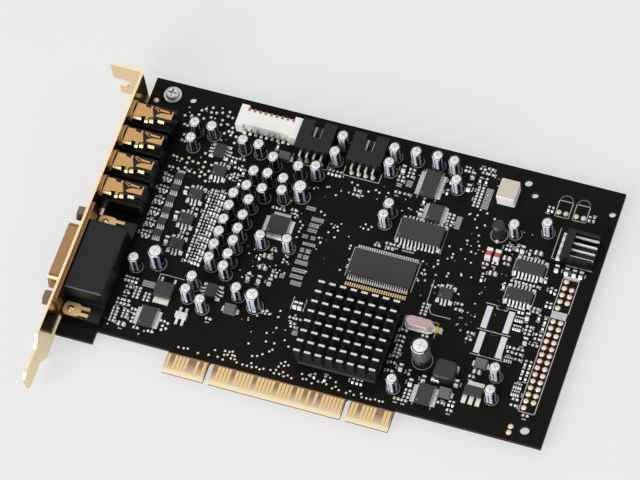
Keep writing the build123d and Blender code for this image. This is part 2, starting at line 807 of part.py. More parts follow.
# White wire header
wire_right = wire_header_x + wire_header_length
wire_back = wire_header_y + wire_header_depth
wire_front = wire_header_y + wire_header_front_step
wire_roof_back = wire_front + wire_roof_depth
wire_middle = wire_header_x + wire_header_length / 2
cavity_length = wire_header_length - 2 * wire_tower_width
wire_pin_rows = [wire_middle + along for along in spread(wire_pin_count, wire_pin_pitch)]
with BuildPart() as wire_header_housing:
    with BuildSketch(deck):
        with Locations((wire_header_x, wire_header_y)):
            Rectangle(wire_tower_width, wire_header_depth, align=Align.MIN)
        with Locations((wire_right, wire_header_y)):
            Rectangle(wire_tower_width, wire_header_depth, align=(Align.MAX, Align.MIN))
        with Locations((wire_middle, wire_front)):
            Rectangle(cavity_length, wire_roof_depth, align=(Align.CENTER, Align.MIN))
    extrude(amount=wire_header_height)
    with BuildSketch(deck):
        with Locations((wire_middle, wire_front)):
            Rectangle(cavity_length, wire_back - wire_front, align=(Align.CENTER, Align.MIN))
    extrude(amount=wire_wall)
    with BuildSketch(elevation(wire_back)):
        with Locations((wire_middle, wire_wall)):
            Rectangle(cavity_length, wire_header_height - 2 * wire_wall, align=(Align.CENTER, Align.MIN))
    extrude(amount=wire_back - wire_front - wire_wall, mode=Mode.SUBTRACT)
    with BuildSketch(elevation(wire_front + wire_wall)):
        with Locations(*[(x, wire_pin_level) for x in wire_pin_rows]):
            Rectangle(wire_pin_size, wire_pin_size)
    extrude(amount=wire_wall, mode=Mode.SUBTRACT)
keep(wire_header_housing, "wire_header_housing")

with BuildPart() as wire_header_pins:
    with BuildSketch(elevation(wire_back - wire_pin_end_gap)):
        with Locations(*[(x, wire_pin_level) for x in wire_pin_rows]):
            Rectangle(wire_pin_size, wire_pin_size)
    extrude(amount=wire_back - wire_pin_end_gap - wire_front + wire_lead_out)
    with BuildSketch(deck):
        with Locations(*[(x, wire_front - wire_lead_out) for x in wire_pin_rows]):
            Rectangle(wire_pin_size, wire_pin_size, align=(Align.CENTER, Align.MIN))
    extrude(amount=wire_pin_level)
keep(wire_header_pins, "wire_header_pins")

# Black four-pin headers, open at the board's upper edge, with a latch slot in the roof
header_pin_offsets = spread(header_pin_count, header_pin_pitch)
for number, (header_x, header_y) in enumerate(audio_header_places, 1):
    header_back = header_y + audio_header_depth
    with BuildPart() as audio_header_housing:
        with BuildSketch(deck):
            with Locations((header_x, header_y)):
                Rectangle(audio_header_length, audio_header_depth, align=(Align.CENTER, Align.MIN))
        extrude(amount=audio_header_height)
        with BuildSketch(elevation(header_back)):
            with Locations((header_x, audio_header_wall)):
                Rectangle(
                    audio_header_length - 2 * audio_header_wall,
                    audio_header_height - 2 * audio_header_wall,
                    align=(Align.CENTER, Align.MIN),
                )
        extrude(amount=audio_header_depth - audio_header_back, mode=Mode.SUBTRACT)
        with BuildSketch(deck.offset(audio_header_height)):
            with Locations((header_x, header_back)):
                Rectangle(audio_slot_width, audio_slot_length, align=(Align.CENTER, Align.MAX))
        extrude(amount=-audio_header_wall, mode=Mode.SUBTRACT)
        with BuildSketch(elevation(header_y + audio_header_back)):
            with Locations(*[(header_x + along, header_pin_level) for along in header_pin_offsets]):
                Rectangle(header_pin_size, header_pin_size)
        extrude(amount=audio_header_back, mode=Mode.SUBTRACT)
    keep(audio_header_housing, f"audio_header_{number}_housing")

with BuildPart() as audio_header_pins:
    for header_x, header_y in audio_header_places:
        with BuildSketch(elevation(header_y + audio_header_depth - header_pin_end_gap)):
            with Locations(*[(header_x + along, header_pin_level) for along in header_pin_offsets]):
                Rectangle(header_pin_size, header_pin_size)
        extrude(amount=audio_header_depth - header_pin_end_gap + header_lead_out)
        with BuildSketch(deck):
            with Locations(*[(header_x + along, header_y - header_lead_out) for along in header_pin_offsets]):
                Rectangle(header_pin_size, header_pin_size, align=(Align.CENTER, Align.MIN))
        extrude(amount=header_pin_level)
keep(audio_header_pins, "audio_header_pins")

# Open four-pin header: floor, back wall and two side walls, open above and at the board's right
digital_front = digital_header_x + digital_header_depth
digital_tail_x = digital_header_x - digital_lead_out
digital_rows = [digital_header_y + along for along in header_pin_offsets]
with BuildPart() as digital_header_housing:
    with BuildSketch(deck):
        with Locations((digital_header_x, digital_header_y)):
            Rectangle(digital_header_depth, digital_header_length, align=(Align.MIN, Align.CENTER))
    extrude(amount=digital_header_height)
    with BuildSketch(deck.offset(digital_floor)):
        with Locations((digital_header_x + digital_back, digital_header_y)):
            Rectangle(
                digital_header_depth - digital_back,
                digital_header_length - 2 * digital_wall,
                align=(Align.MIN, Align.CENTER),
            )
    extrude(amount=digital_header_height - digital_floor, mode=Mode.SUBTRACT)
    with BuildSketch(section(digital_header_x)):
        with Locations(*[(y, digital_pin_level) for y in digital_rows]):
            Rectangle(header_pin_size, header_pin_size)
    extrude(amount=digital_back, mode=Mode.SUBTRACT)
keep(digital_header_housing, "digital_header_housing")

with BuildPart() as digital_header_pins:
    with BuildSketch(section(digital_tail_x)):
        with Locations(*[(y, digital_pin_level) for y in digital_rows]):
            Rectangle(header_pin_size, header_pin_size)
    extrude(amount=digital_front - digital_tail_x)
    with BuildSketch(deck):
        with Locations(*[(digital_tail_x, y) for y in digital_rows]):
            Rectangle(header_pin_size, header_pin_size, align=(Align.MIN, Align.CENTER))
    extrude(amount=digital_pin_level)
keep(digital_header_pins, "digital_header_pins")

# Processor, thermal pad and heat sink
processor_top = processor_lift + processor_height
sink_bottom = processor_top + pad_thickness
sink_length = (fin_count - 1) * fin_pitch + fin_length
sink_width = (fin_count - 1) * fin_pitch + fin_width
with BuildPart() as audio_processor:
    with BuildSketch(deck.offset(processor_lift)):
        with Locations((sink_x, sink_y)):
            Rectangle(processor_side, processor_side)
    extrude(amount=processor_height)
keep(audio_processor, "audio_processor")

with BuildPart() as thermal_pad:
    with BuildSketch(deck.offset(processor_top)):
        with Locations((sink_x, sink_y)):
            Rectangle(pad_side, pad_side)
    extrude(amount=pad_thickness)
keep(thermal_pad, "thermal_pad")

with BuildPart() as heat_sink:
    with BuildSketch(deck.offset(sink_bottom)):
        with Locations((sink_x, sink_y)):
            Rectangle(sink_length, sink_width)
    extrude(amount=sink_base)
    with BuildSketch(deck.offset(sink_bottom + sink_base)):
        with Locations((sink_x, sink_y)):
            with GridLocations(fin_pitch, fin_pitch, fin_count, fin_count):
                Rectangle(fin_length, fin_width)
    extrude(amount=sink_top - sink_bottom - sink_base)
keep(heat_sink, "heat_sink")

# Moulded chips: bodies part at the lead frame, widest there, and their leads
with BuildPart() as memory_chip:
    parting = tsop54.height * lead_level
    for rise in (tsop54.height - parting, chip_lift - parting):
        with BuildSketch(deck.offset(parting)):
            with Locations(*memory_places):
                Rectangle(tsop54.length, tsop54.width)
        extrude(amount=rise, taper=chip_draft)
keep(memory_chip, "memory_chip")

with BuildPart() as memory_chip_leads:
    with BuildSketch(*two_row_planes(tsop54, memory_places, turned=False)):
        with BuildLine():
            Polyline(*wing(tsop54), close=True)
        make_face()
    extrude(amount=tsop54.lead / 2, both=True)
keep(memory_chip_leads, "memory_chip_leads")

with BuildPart() as codec_chip:
    parting = quad48.height * lead_level
    for rise in (quad48.height - parting, chip_lift - parting):
        with BuildSketch(deck.offset(parting)):
            with Locations(*codec_places):
                Rectangle(quad48.length, quad48.width)
        extrude(amount=rise, taper=chip_draft)
keep(codec_chip, "codec_chip")

quad_planes = two_row_planes(quad48, codec_places, turned=False)
quad_planes += two_row_planes(quad48, codec_places, turned=True)
with BuildPart() as codec_chip_leads:
    with BuildSketch(*quad_planes):
        with BuildLine():
            Polyline(*wing(quad48), close=True)
        make_face()
    extrude(amount=quad48.lead / 2, both=True)
keep(codec_chip_leads, "codec_chip_leads")

with BuildPart() as converter_chips:
    for package, places in converter_kinds:
        parting = package.height * lead_level
        for rise in (package.height - parting, chip_lift - parting):
            with BuildSketch(deck.offset(parting)):
                with Locations(*places):
                    Rectangle(package.width, package.length)
            extrude(amount=rise, taper=chip_draft)
keep(converter_chips, "converter_chips")

with BuildPart() as converter_chip_leads:
    for package, places in converter_kinds:
        with BuildSketch(*two_row_planes(package, places, turned=True)):
            with BuildLine():
                Polyline(*wing(package), close=True)
            make_face()
        extrude(amount=package.lead / 2, both=True)
keep(converter_chip_leads, "converter_chip_leads")

with BuildPart() as amplifier_chips:
    parting = so8.height * lead_level
    for rise in (so8.height - parting, chip_lift - parting):
        with BuildSketch(deck.offset(parting)):
            with Locations(*amplifier_upright):
                Rectangle(so8.length, so8.width)
            with Locations(*amplifier_turned):
                Rectangle(so8.width, so8.length)
        extrude(amount=rise, taper=chip_draft)
keep(amplifier_chips, "amplifier_chips")

amplifier_planes = two_row_planes(so8, amplifier_upright, turned=False)
amplifier_planes += two_row_planes(so8, amplifier_turned, turned=True)
with BuildPart() as amplifier_chip_leads:
    with BuildSketch(*amplifier_planes):
        with BuildLine():
            Polyline(*wing(so8), close=True)
        make_face()
    extrude(amount=so8.lead / 2, both=True)
keep(amplifier_chip_leads, "amplifier_chip_leads")

with BuildPart() as logic_chips:
    for package, places in logic_kinds:
        parting = package.height * lead_level
        for rise in (package.height - parting, chip_lift - parting):
            with BuildSketch(deck.offset(parting)):
                with Locations(*places):
                    Rectangle(package.length, package.width)
            extrude(amount=rise, taper=chip_draft)
keep(logic_chips, "logic_chips")

with BuildPart() as logic_chip_leads:
    for package, places in logic_kinds:
        with BuildSketch(*two_row_planes(package, places, turned=False)):
            with BuildLine():
                Polyline(*wing(package), close=True)
            make_face()
        extrude(amount=package.lead / 2, both=True)
keep(logic_chip_leads, "logic_chip_leads")

muting_rows = [muting_first_y + index * muting_pitch for index in range(muting_count)]
muting_places = [(muting_x, y) for y in muting_rows]
with BuildPart() as muting_transistors:
    parting = sot8.height * lead_level
    for rise in (sot8.height - parting, chip_lift - parting):
        with BuildSketch(deck.offset(parting)):
            with Locations(*muting_places):
                Rectangle(sot8.length, sot8.width)
        extrude(amount=rise, taper=chip_draft)
keep(muting_transistors, "muting_transistors")

with BuildPart() as muting_transistor_leads:
    with BuildSketch(*two_row_planes(sot8, muting_places, turned=False)):
        with BuildLine():
            Polyline(*wing(sot8), close=True)
        make_face()
    extrude(amount=sot8.lead / 2, both=True)
keep(muting_transistor_leads, "muting_transistor_leads")

# Regulators
wide_low = wide_regulator_y - wide_body_width / 2
wide_high = wide_regulator_y + wide_body_width / 2
narrow_low = narrow_regulator_y - narrow_body_width / 2
narrow_high = narrow_regulator_y + narrow_body_width / 2
wide_tab_length = wide_body_width + wide_tab_reach - wide_lead_reach
wide_lead_rows = [wide_regulator_x + along for along in spread(2, 2 * wide_lead_pitch)]
narrow_tab_length = narrow_body_width / 2 + narrow_tab_reach
narrow_lead_length = narrow_body_width / 4 + narrow_lead_reach
narrow_lead_rows = [narrow_regulator_x + along for along in spread(3, narrow_lead_pitch)]
with BuildPart() as regulators:
    with BuildSketch(deck.offset(wide_tab_thickness)):
        with Locations((wide_regulator_x, wide_regulator_y)):
            Rectangle(wide_body_length, wide_body_width)
    extrude(amount=wide_body_height - wide_tab_thickness, taper=chip_draft)
    with BuildSketch(deck.offset(strip_thickness)):
        with Locations((narrow_regulator_x, narrow_regulator_y)):
            Rectangle(narrow_body_length, narrow_body_width)
    extrude(amount=narrow_body_height - strip_thickness, taper=chip_draft)
keep(regulators, "regulators")

with BuildPart() as regulator_tabs:
    with BuildSketch(deck):
        with Locations((wide_regulator_x, wide_low - wide_tab_reach)):
            Rectangle(wide_tab_width, wide_tab_length, align=(Align.CENTER, Align.MIN))
    extrude(amount=wide_tab_thickness)
    with BuildSketch(deck):
        with Locations(*[(x, wide_high + wide_lead_reach) for x in wide_lead_rows]):
            Rectangle(wide_lead_width, 2 * wide_lead_reach, align=(Align.CENTER, Align.MAX))
        with Locations((narrow_regulator_x, narrow_high + narrow_tab_reach)):
            Rectangle(narrow_tab_width, narrow_tab_length, align=(Align.CENTER, Align.MAX))
        with Locations(*[(x, narrow_low - narrow_lead_reach) for x in narrow_lead_rows]):
            Rectangle(narrow_lead_width, narrow_lead_length, align=(Align.CENTER, Align.MIN))
    extrude(amount=strip_thickness)
keep(regulator_tabs, "regulator_tabs")

# Electrolytic capacitors
with BuildPart() as capacitor_cans:
    for size in can_sizes:
        with BuildSketch(deck.offset(can_lift)):
            with Locations(*size.places):
                Circle(size.diameter / 2 - sleeve_thickness - sleeve_fit)
        extrude(amount=size.height - can_lift)
keep(capacitor_cans, "capacitor_cans")

with BuildPart() as capacitor_sleeves:
    for size in can_sizes:
        with BuildSketch(deck.offset(can_lift)):
            with Locations(*size.places):
                Circle(size.diameter / 2)
                Circle(size.diameter / 2 - sleeve_thickness, mode=Mode.SUBTRACT)
        extrude(amount=size.height - can_lift - sleeve_drop)
keep(capacitor_sleeves, "capacitor_sleeves")

# Single parts
with BuildPart() as crystal:
    with BuildSketch(deck):
        with Locations((crystal_x, crystal_y)):
            SlotOverall(crystal_length, crystal_width)
    extrude(amount=crystal_rim_height)
    with BuildSketch(deck):
        with Locations((crystal_x, crystal_y)):
            SlotOverall(crystal_length - 2 * crystal_rim, crystal_width - 2 * crystal_rim)
    extrude(amount=crystal_height)
    fillet(crystal.edges().group_by(Axis.Z)[-1], crystal_rim)
keep(crystal, "crystal")

with BuildPart() as film_capacitor:
    with BuildSketch(deck) as film_base:
        with Locations((film_x, film_y)):
            Rectangle(film_length, film_width)
        fillet(film_base.vertices(), film_edge)
    extrude(amount=film_height)
    chamfer(film_capacitor.edges().group_by(Axis.Z)[-1], film_edge / 2)
keep(film_capacitor, "film_capacitor")

with BuildPart() as power_inductor:
    with BuildSketch(deck) as coil_base:
        with Locations((coil_x, coil_y)):
            Rectangle(coil_length, coil_width)
        fillet(coil_base.vertices(), coil_corner)
    extrude(amount=coil_height)
    fillet(power_inductor.edges().group_by(Axis.Z)[-1], coil_edge)
keep(power_inductor, "power_inductor")

with BuildPart() as drum_inductor:
    with BuildSketch(deck):
        with Locations((drum_x, drum_y)):
            Circle(drum_diameter / 2)
    extrude(amount=drum_height)
    chamfer(drum_inductor.edges().group_by(Axis.Z)[-1], drum_edge)
keep(drum_inductor, "drum_inductor")

leg_rows = [filter_x + along for along in spread(2, filter_leg_pitch)]
with BuildPart() as line_filter:
    with BuildSketch(deck):
        with Locations((filter_x, filter_y)):
            Rectangle(filter_length, filter_width)
    extrude(amount=filter_height)
    with BuildSketch(deck):
        with Locations(*[(x, filter_y) for x in leg_rows]):
            Rectangle(filter_leg_width, filter_width + 2 * filter_leg_reach)
    extrude(amount=strip_thickness)
keep(line_filter, "line_filter")

with BuildPart() as tantalum_capacitor:
    with BuildSketch(deck):
        with Locations((tantalum_x, tantalum_y)):
            Rectangle(tantalum_length, tantalum_width)
    extrude(amount=tantalum_height)
keep(tantalum_capacitor, "tantalum_capacitor")

with BuildPart() as diodes:
    with BuildSketch(deck):
        with Locations(*diode_places):
            Rectangle(diode_length, diode_width)
    extrude(amount=diode_height, taper=chip_draft)
keep(diodes, "diodes")

with BuildPart() as ferrite_beads:
    with BuildSketch(deck):
        with Locations(*bead_places):
            Rectangle(bead_length, bead_width)
    extrude(amount=bead_height)
keep(ferrite_beads, "ferrite_beads")

# Chip parts
filter_rows = [filter_cell_top - index * filter_cell_pitch for index in range(filter_cell_count)]
filter_lying = [(x, top + drop) for top in filter_rows for x, drop in filter_cell_lying]
filter_standing = [(x, top + drop) for top in filter_rows for x, drop in filter_cell_standing]
muting_standing = [(x, row + drop) for row in muting_rows for x, drop in muting_cell_standing]
muting_lying = [(x, row + drop) for row in muting_rows for x, drop in muting_cell_lying]
bus_column = [(bus_column_x, bus_column_low + index * bus_column_pitch) for index in range(bus_column_count)]
edge_column = [(edge_column_x, y) for y in edge_column_rows]
with BuildPart() as chip_resistors:
    with BuildSketch(deck):
        with Locations(*lying_resistors, *filter_lying, *muting_lying, *bus_column):
            Rectangle(chip_length, chip_width)
        with Locations(*standing_resistors, *muting_standing):
            Rectangle(chip_width, chip_length)
    extrude(amount=resistor_height)
keep(chip_resistors, "chip_resistors")

with BuildPart() as chip_capacitors:
    with BuildSketch(deck):
        with Locations(*lying_capacitors, *edge_column):
            Rectangle(chip_length, chip_width)
        with Locations(*standing_capacitors, *filter_standing):
            Rectangle(chip_width, chip_length)
    extrude(amount=capacitor_height)
    with BuildSketch(deck):
        with Locations(*lying_large):
            Rectangle(large_chip_length, large_chip_width)
        with Locations(*standing_large):
            Rectangle(large_chip_width, large_chip_length)
    extrude(amount=large_chip_height)
keep(chip_capacitors, "chip_capacitors")

with BuildPart() as resistor_arrays:
    with BuildSketch(deck):
        with Locations(*array_places):
            Rectangle(array_length, array_width)
    extrude(amount=array_height)
keep(resistor_arrays, "resistor_arrays")

# Solder tails: round on the capacitors, stamped on the sockets and headers
round_tails = [
    (x + along, y) for size in can_sizes for x, y in size.places for along in spread(2, size.lead_gap)
]
stamped_tails = [(jack_front + out, row + along) for row in jack_rows for out, along in jack_tails]
stamped_tails += [
    (out, connector_y + along) for count, out in connector_tail_rows for along in spread(count, socket_pitch)
]
stamped_tails += [(x, wire_front - wire_lead_out + wire_pin_size / 2) for x in wire_pin_rows]
stamped_tails += [
    (header_x + along, header_y - header_lead_out + header_pin_size / 2)
    for header_x, header_y in audio_header_places
    for along in header_pin_offsets
]
stamped_tails += [(digital_tail_x + header_pin_size / 2, y) for y in digital_rows]
with BuildPart() as solder_tails:
    with BuildSketch(underside):
        with Locations(*round_tails):
            Circle(can_tail / 2)
        with Locations(*stamped_tails):
            Rectangle(stamped_tail, stamped_tail)
    extrude(amount=-tail_length)
keep(solder_tails, "solder_tails")
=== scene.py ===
"""Looks for a sound card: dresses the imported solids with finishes, solder, print and small parts.

All pieces are placed in board millimetres: from the board's left edge, its main lower edge and its
upper face. The card's solids are the fixed frame, and sizes that they already hold are read from it.
"""

import math
import random

import bmesh
import bpy
from bpy.props import FloatProperty, FloatVectorProperty, IntProperty, PointerProperty
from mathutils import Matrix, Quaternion, Vector


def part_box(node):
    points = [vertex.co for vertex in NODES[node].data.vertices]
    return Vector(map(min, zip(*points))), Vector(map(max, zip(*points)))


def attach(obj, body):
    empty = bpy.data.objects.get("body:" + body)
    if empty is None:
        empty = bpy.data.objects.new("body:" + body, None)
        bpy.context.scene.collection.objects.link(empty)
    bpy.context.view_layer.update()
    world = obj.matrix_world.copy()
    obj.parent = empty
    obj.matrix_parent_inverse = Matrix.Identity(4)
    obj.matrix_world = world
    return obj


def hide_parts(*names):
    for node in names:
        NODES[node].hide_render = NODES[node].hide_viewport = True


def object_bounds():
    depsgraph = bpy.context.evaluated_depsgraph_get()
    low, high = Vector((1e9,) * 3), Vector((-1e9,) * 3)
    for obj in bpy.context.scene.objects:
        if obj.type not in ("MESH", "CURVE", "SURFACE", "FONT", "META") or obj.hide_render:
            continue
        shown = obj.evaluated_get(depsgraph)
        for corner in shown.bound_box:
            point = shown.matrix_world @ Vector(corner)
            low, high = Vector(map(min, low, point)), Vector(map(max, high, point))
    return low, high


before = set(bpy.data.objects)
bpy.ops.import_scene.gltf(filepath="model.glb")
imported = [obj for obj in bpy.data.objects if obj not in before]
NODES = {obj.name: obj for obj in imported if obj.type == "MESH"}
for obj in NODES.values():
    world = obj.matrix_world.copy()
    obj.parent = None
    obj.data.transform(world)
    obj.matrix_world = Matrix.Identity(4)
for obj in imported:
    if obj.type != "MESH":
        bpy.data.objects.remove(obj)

bl_info = {
    "name": "Sound card looks",
    "version": (1, 0, 0),
    "blender": (4, 5, 0),
    "location": "View3D > Sidebar > Card",
    "description": "Finishes, solder, print and small parts for a packed sound card",
    "category": "Object",
}

MM = 0.001
CAD_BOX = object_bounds()
BOARD_LOW, BOARD_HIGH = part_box("circuit_board")
# From the main lower edge to the top: the tongue and the corner tab hang below that edge
BOARD_HEIGHT = 98.43
BOARD_THICKNESS = (BOARD_HIGH.z - BOARD_LOW.z) / MM
DECK = Vector((BOARD_LOW.x, BOARD_HIGH.y - BOARD_HEIGHT * MM, BOARD_HIGH.z))

JACKS = [f"jack_{number}" for number in range(1, 5)]
# Chip bodies with the nodes of their leads
CHIP_BODIES = (
    "memory_chip", "codec_chip", "converter_chips", "amplifier_chips", "logic_chips", "muting_transistors",
)
CHIP_LEADS = {body: body.removesuffix("s") + "_leads" for body in CHIP_BODIES}
# Parts that stand on the board, which a plated hole can't lie under and still show
STANDING_NODES = [
    *CHIP_BODIES, *CHIP_LEADS.values(), "chip_resistors", "chip_capacitors", "resistor_arrays",
    "capacitor_sleeves", "regulators", "regulator_tabs", "crystal", "film_capacitor", "power_inductor",
    "drum_inductor", "diodes", "line_filter", "ferrite_beads", "tantalum_capacitor", "audio_processor",
    "heat_sink", "wire_header_housing", "audio_header_1_housing", "audio_header_2_housing",
    "digital_header_housing", "bracket_screw", "connector_housing", *(jack + "_housing" for jack in JACKS),
]

# Where the gold-free laminate of the edge tongue shows: below this height, right of this place
TONGUE_TOP = -0.75
TONGUE_LEFT = 30.0
# Heights between which the laminate pales towards its milled bevel
BEVEL_FADE = (-3.0, -7.5)
# Most that a normal points up or down on the board's cut edge
CUT_EDGE_TILT = 0.4
# Bare solder pads of the two-row pin field that carries no pins: column, top pad, count
PIN_FIELD_PITCH = 2.54
PIN_FIELD_RUNS = ((159.6, 61.0, 5), (162.2, 58.4, 3), (159.6, 45.6, 14), (162.2, 45.6, 13))
LAMP_PADS = ((149.4, 85.6), (151.9, 85.6), (155.5, 85.6), (158.1, 85.6))
LOOSE_PADS = ((157.5, 4.9), (157.5, 2.7), (2.7, 89.7))
# Solder on such a pad and the land's rim round it, as radius and height
PAD_PROFILE = ((0.86, 0.0), (0.84, 0.05), (0.66, 0.2), (0.36, 0.3), (0.1, 0.33))
RIM_PROFILE = ((1.06, 0.0), (1.04, 0.03))
# Long tinned lands: middle x, lower y, upper y
LONG_LANDS = ((137.9, 37.0, 45.3), (145.6, 37.0, 45.3), (138.3, 27.5, 35.6), (145.9, 27.5, 35.6))
LONG_LAND_WIDTH = 2.1
LONG_LAND_HEIGHT = 0.14
# Gold comb of lands below the memory chip: left, right, lower, upper
GOLD_COMB = (88.2, 109.9, 39.5, 40.9)
GOLD_COMB_COUNT = 27
GOLD_COMB_SHARE = 0.62
GOLD_COMB_HEIGHT = 0.04

# Wide plated holes, most of them near the jacks, then narrower ones over the rest of the board
WIDE_HOLES = [
    (22.8, 92.2), (22.8, 90.3), (20.6, 91.1), (24.6, 90.6), (26.6, 91.2), (28.9, 92.2), (28.9, 90.4),
    (30.6, 90.2), (18.9, 88.3), (23.3, 88.4), (27.5, 88.4), (21.0, 87.3), (29.7, 87.3), (27.6, 86.6),
    (16.6, 87.3), (14.3, 86.7), (31.9, 86.5), (21.2, 71.3), (21.2, 69.3), (21.2, 67.3), (21.2, 65.4),
    (23.0, 70.3), (17.1, 70.5), (15.8, 70.7), (19.0, 70.2), (25.0, 70.2), (27.2, 71.2), (27.2, 69.2),
    (27.2, 67.2), (27.2, 65.4), (65.0, 22.5), (66.3, 22.9), (33.0, 9.7), (34.3, 9.6), (35.6, 9.2),
    (34.2, 7.9), (35.6, 7.2), (34.2, 6.4), (23.4, 9.5), (23.4, 8.0), (23.3, 6.6), (15.8, 66.3),
    (17.1, 66.3), (19.0, 66.3), (23.1, 66.4), (25.0, 66.3), (28.7, 66.5), (29.7, 70.7), (29.6, 68.2),
    (29.7, 64.2), (16.5, 83.1), (15.3, 83.4), (16.5, 79.5), (16.5, 77.3), (17.7, 77.0), (31.1, 84.9),
    (32.4, 84.8), (32.2, 83.6), (34.2, 83.5), (29.8, 83.7), (34.4, 81.0), (19.3, 90.2), (26.1, 74.5),
    (35.8, 74.5),
]
PLATED_HOLES = [
    (71.8, 63.8), (73.4, 62.9), (77.9, 59.2), (79.0, 59.8), (79.6, 58.4), (76.7, 57.0), (79.3, 55.7),
    (74.3, 54.1), (75.3, 52.6), (63.4, 60.6), (64.4, 60.2), (64.0, 59.3), (66.2, 58.2), (67.4, 57.1),
    (67.1, 55.8), (67.0, 54.4), (66.9, 52.2), (66.4, 44.2), (65.4, 43.0), (66.8, 42.3), (65.4, 41.8),
    (85.6, 54.2), (85.6, 53.0), (86.8, 49.0), (87.0, 46.8), (85.0, 44.4), (88.0, 63.3), (90.2, 62.9),
    (87.7, 61.6), (89.4, 61.7), (115.1, 54.2), (116.1, 55.6), (115.8, 56.9), (112.4, 52.2), (111.9, 50.8),
    (113.2, 50.8), (119.9, 60.6), (119.9, 59.3), (125.0, 53.7), (120.6, 53.2), (120.4, 52.0), (117.9, 47.0),
    (116.8, 47.4), (118.8, 48.0), (126.2, 46.7), (121.9, 63.1), (117.8, 63.1), (125.5, 63.1), (110.9, 55.2),
    (111.6, 47.8), (113.8, 48.5), (91.6, 76.9), (88.6, 76.2), (87.2, 76.8), (84.9, 75.6), (78.4, 77.4),
    (80.6, 77.0), (83.4, 73.4), (74.6, 71.2), (66.6, 71.6), (64.4, 71.0), (126.3, 78.6), (123.4, 77.0),
    (120.6, 76.6), (126.9, 74.0), (124.6, 72.4), (126.1, 69.7), (123.0, 66.8), (129.4, 77.2), (127.4, 66.0),
    (66.0, 21.8), (67.4, 22.0), (63.7, 20.3), (70.7, 24.2), (70.7, 21.8), (71.4, 17.8), (131.5, 58.5),
    (131.8, 56.3), (85.2, 4.0), (86.0, 2.3), (87.2, 2.5), (87.7, 4.2), (89.4, 1.6), (91.2, 2.8),
    (92.7, 3.0), (94.2, 2.6), (94.7, 5.2), (96.5, 1.7), (97.0, 4.2), (97.5, 2.6), (98.9, 1.7), (101.5, 1.4),
    (102.6, 2.4), (104.2, 1.4), (106.4, 2.5), (107.0, 1.4), (108.6, 1.4), (110.0, 1.4), (111.5, 1.8),
    (113.0, 1.6), (114.2, 1.7), (42.1, 1.9), (43.9, 2.0), (45.3, 2.2), (49.1, 1.6), (52.8, 2.0),
    (56.0, 2.1), (57.9, 1.6), (54.3, 4.2), (62.8, 1.9), (64.9, 1.7), (66.5, 1.7), (68.2, 1.7), (67.6, 3.0),
    (69.7, 2.1), (71.0, 1.6), (72.2, 2.2), (74.6, 2.4), (76.1, 1.6), (76.4, 2.9), (77.9, 1.8), (78.9, 2.8),
    (79.6, 1.4), (80.8, 2.1), (82.3, 1.5), (76.8, 4.3), (77.2, 5.7), (78.4, 6.6), (79.8, 5.7), (78.5, 5.1),
    (67.0, 5.6), (68.6, 6.1), (70.1, 7.2), (72.0, 8.8), (72.8, 9.7), (64.3, 9.7), (69.7, 12.0),
    (72.6, 12.1), (75.6, 14.2), (68.9, 15.1), (77.6, 12.3), (58.9, 3.7), (60.5, 4.1), (61.4, 4.0),
    (57.8, 3.4), (57.7, 4.9), (60.2, 5.3), (59.2, 4.9), (60.4, 2.8), (61.8, 2.8),
]
# Fields of small plated holes: left, lower, right, upper, how many
HOLE_FIELDS = [
    (14.5, 64.0, 31.5, 73.0, 14), (14.0, 84.5, 32.5, 93.0, 12), (26.0, 74.0, 36.0, 86.0, 14),
    (52.0, 30.0, 68.0, 48.0, 30), (60.0, 49.0, 69.0, 73.0, 22),
    (70.0, 40.0, 87.0, 80.0, 24), (110.0, 42.0, 128.0, 66.0, 24), (120.0, 62.0, 130.0, 80.0, 10),
    (128.0, 34.0, 140.0, 62.0, 20), (32.0, 12.0, 60.0, 30.0, 8), (60.0, 14.0, 82.0, 24.0, 12),
    (128.0, 20.0, 158.0, 48.0, 22), (118.0, 84.0, 128.0, 96.5, 14), (128.0, 64.0, 152.0, 76.0, 8),
    (14.0, 2.0, 30.0, 8.0, 8), (88.0, 70.0, 104.0, 90.0, 16),
]
# Range of a small hole's size as a share of a narrow one's, and how many show copper
SMALL_HOLES = (0.45, 0.85)
COPPER_HOLE_SHARE = 0.25
# Solder in a hole: share of the land's radius, height. It keeps this far from parts.
HOLE_PROFILE = ((1.0, 0.0), (0.92, 0.04), (0.4, 0.05))
HOLE_GAP = 0.3
HOLE_FACETS = 10

# Printed outlines, each a run of points
PRINT_RUNS = [
    [(74.3, 82.8), (74.3, 79.5), (87.2, 79.5), (87.2, 82.8)],
    [(55.6, 82.8), (55.6, 79.5), (68.5, 79.5), (68.5, 82.8)],
    [(152.1, 80.0), (152.1, 68.2), (157.7, 68.2), (157.7, 66.9), (166.6, 66.9)],
    [(158.2, 49.6), (158.2, 62.0), (163.7, 62.0), (163.7, 49.6)],
    [(158.2, 46.6), (158.2, 11.0), (163.7, 11.0), (163.7, 46.6)],
    [(148.4, 90.2), (148.4, 84.0), (153.2, 84.0), (153.2, 90.2), (148.4, 90.2)],
    [(154.5, 90.2), (154.5, 84.0), (159.2, 84.0), (159.2, 90.2), (154.5, 90.2)],
    [(136.2, 46.2), (140.0, 46.2), (140.0, 45.0), (143.8, 45.0), (143.8, 46.2), (147.4, 46.2)],
    [(136.2, 36.3), (147.4, 36.3)],
    [(136.6, 26.8), (147.6, 26.8)],
    [(27.0, 23.2), (27.0, 26.3), (35.5, 26.3)],
    [(116.8, 49.4), (117.0, 41.0), (119.6, 37.0), (126.4, 37.0)],
    [(111.2, 69.8), (115.6, 69.8), (115.6, 59.4)],
    [(73.6, 26.0), (73.6, 30.5)],
    [(78.0, 26.0), (78.0, 30.5)],
]
# Printed arcs: middle x, middle y, radius, first and last angle
PRINT_ARCS = [
    (150.8, 90.2, 2.2, 0, 180), (156.85, 90.2, 2.2, 0, 180), (141.9, 46.2, 1.3, 180, 360),
    (142.0, 36.3, 1.3, 180, 360), (132.7, 71.8, 2.9, 0, 360),
]
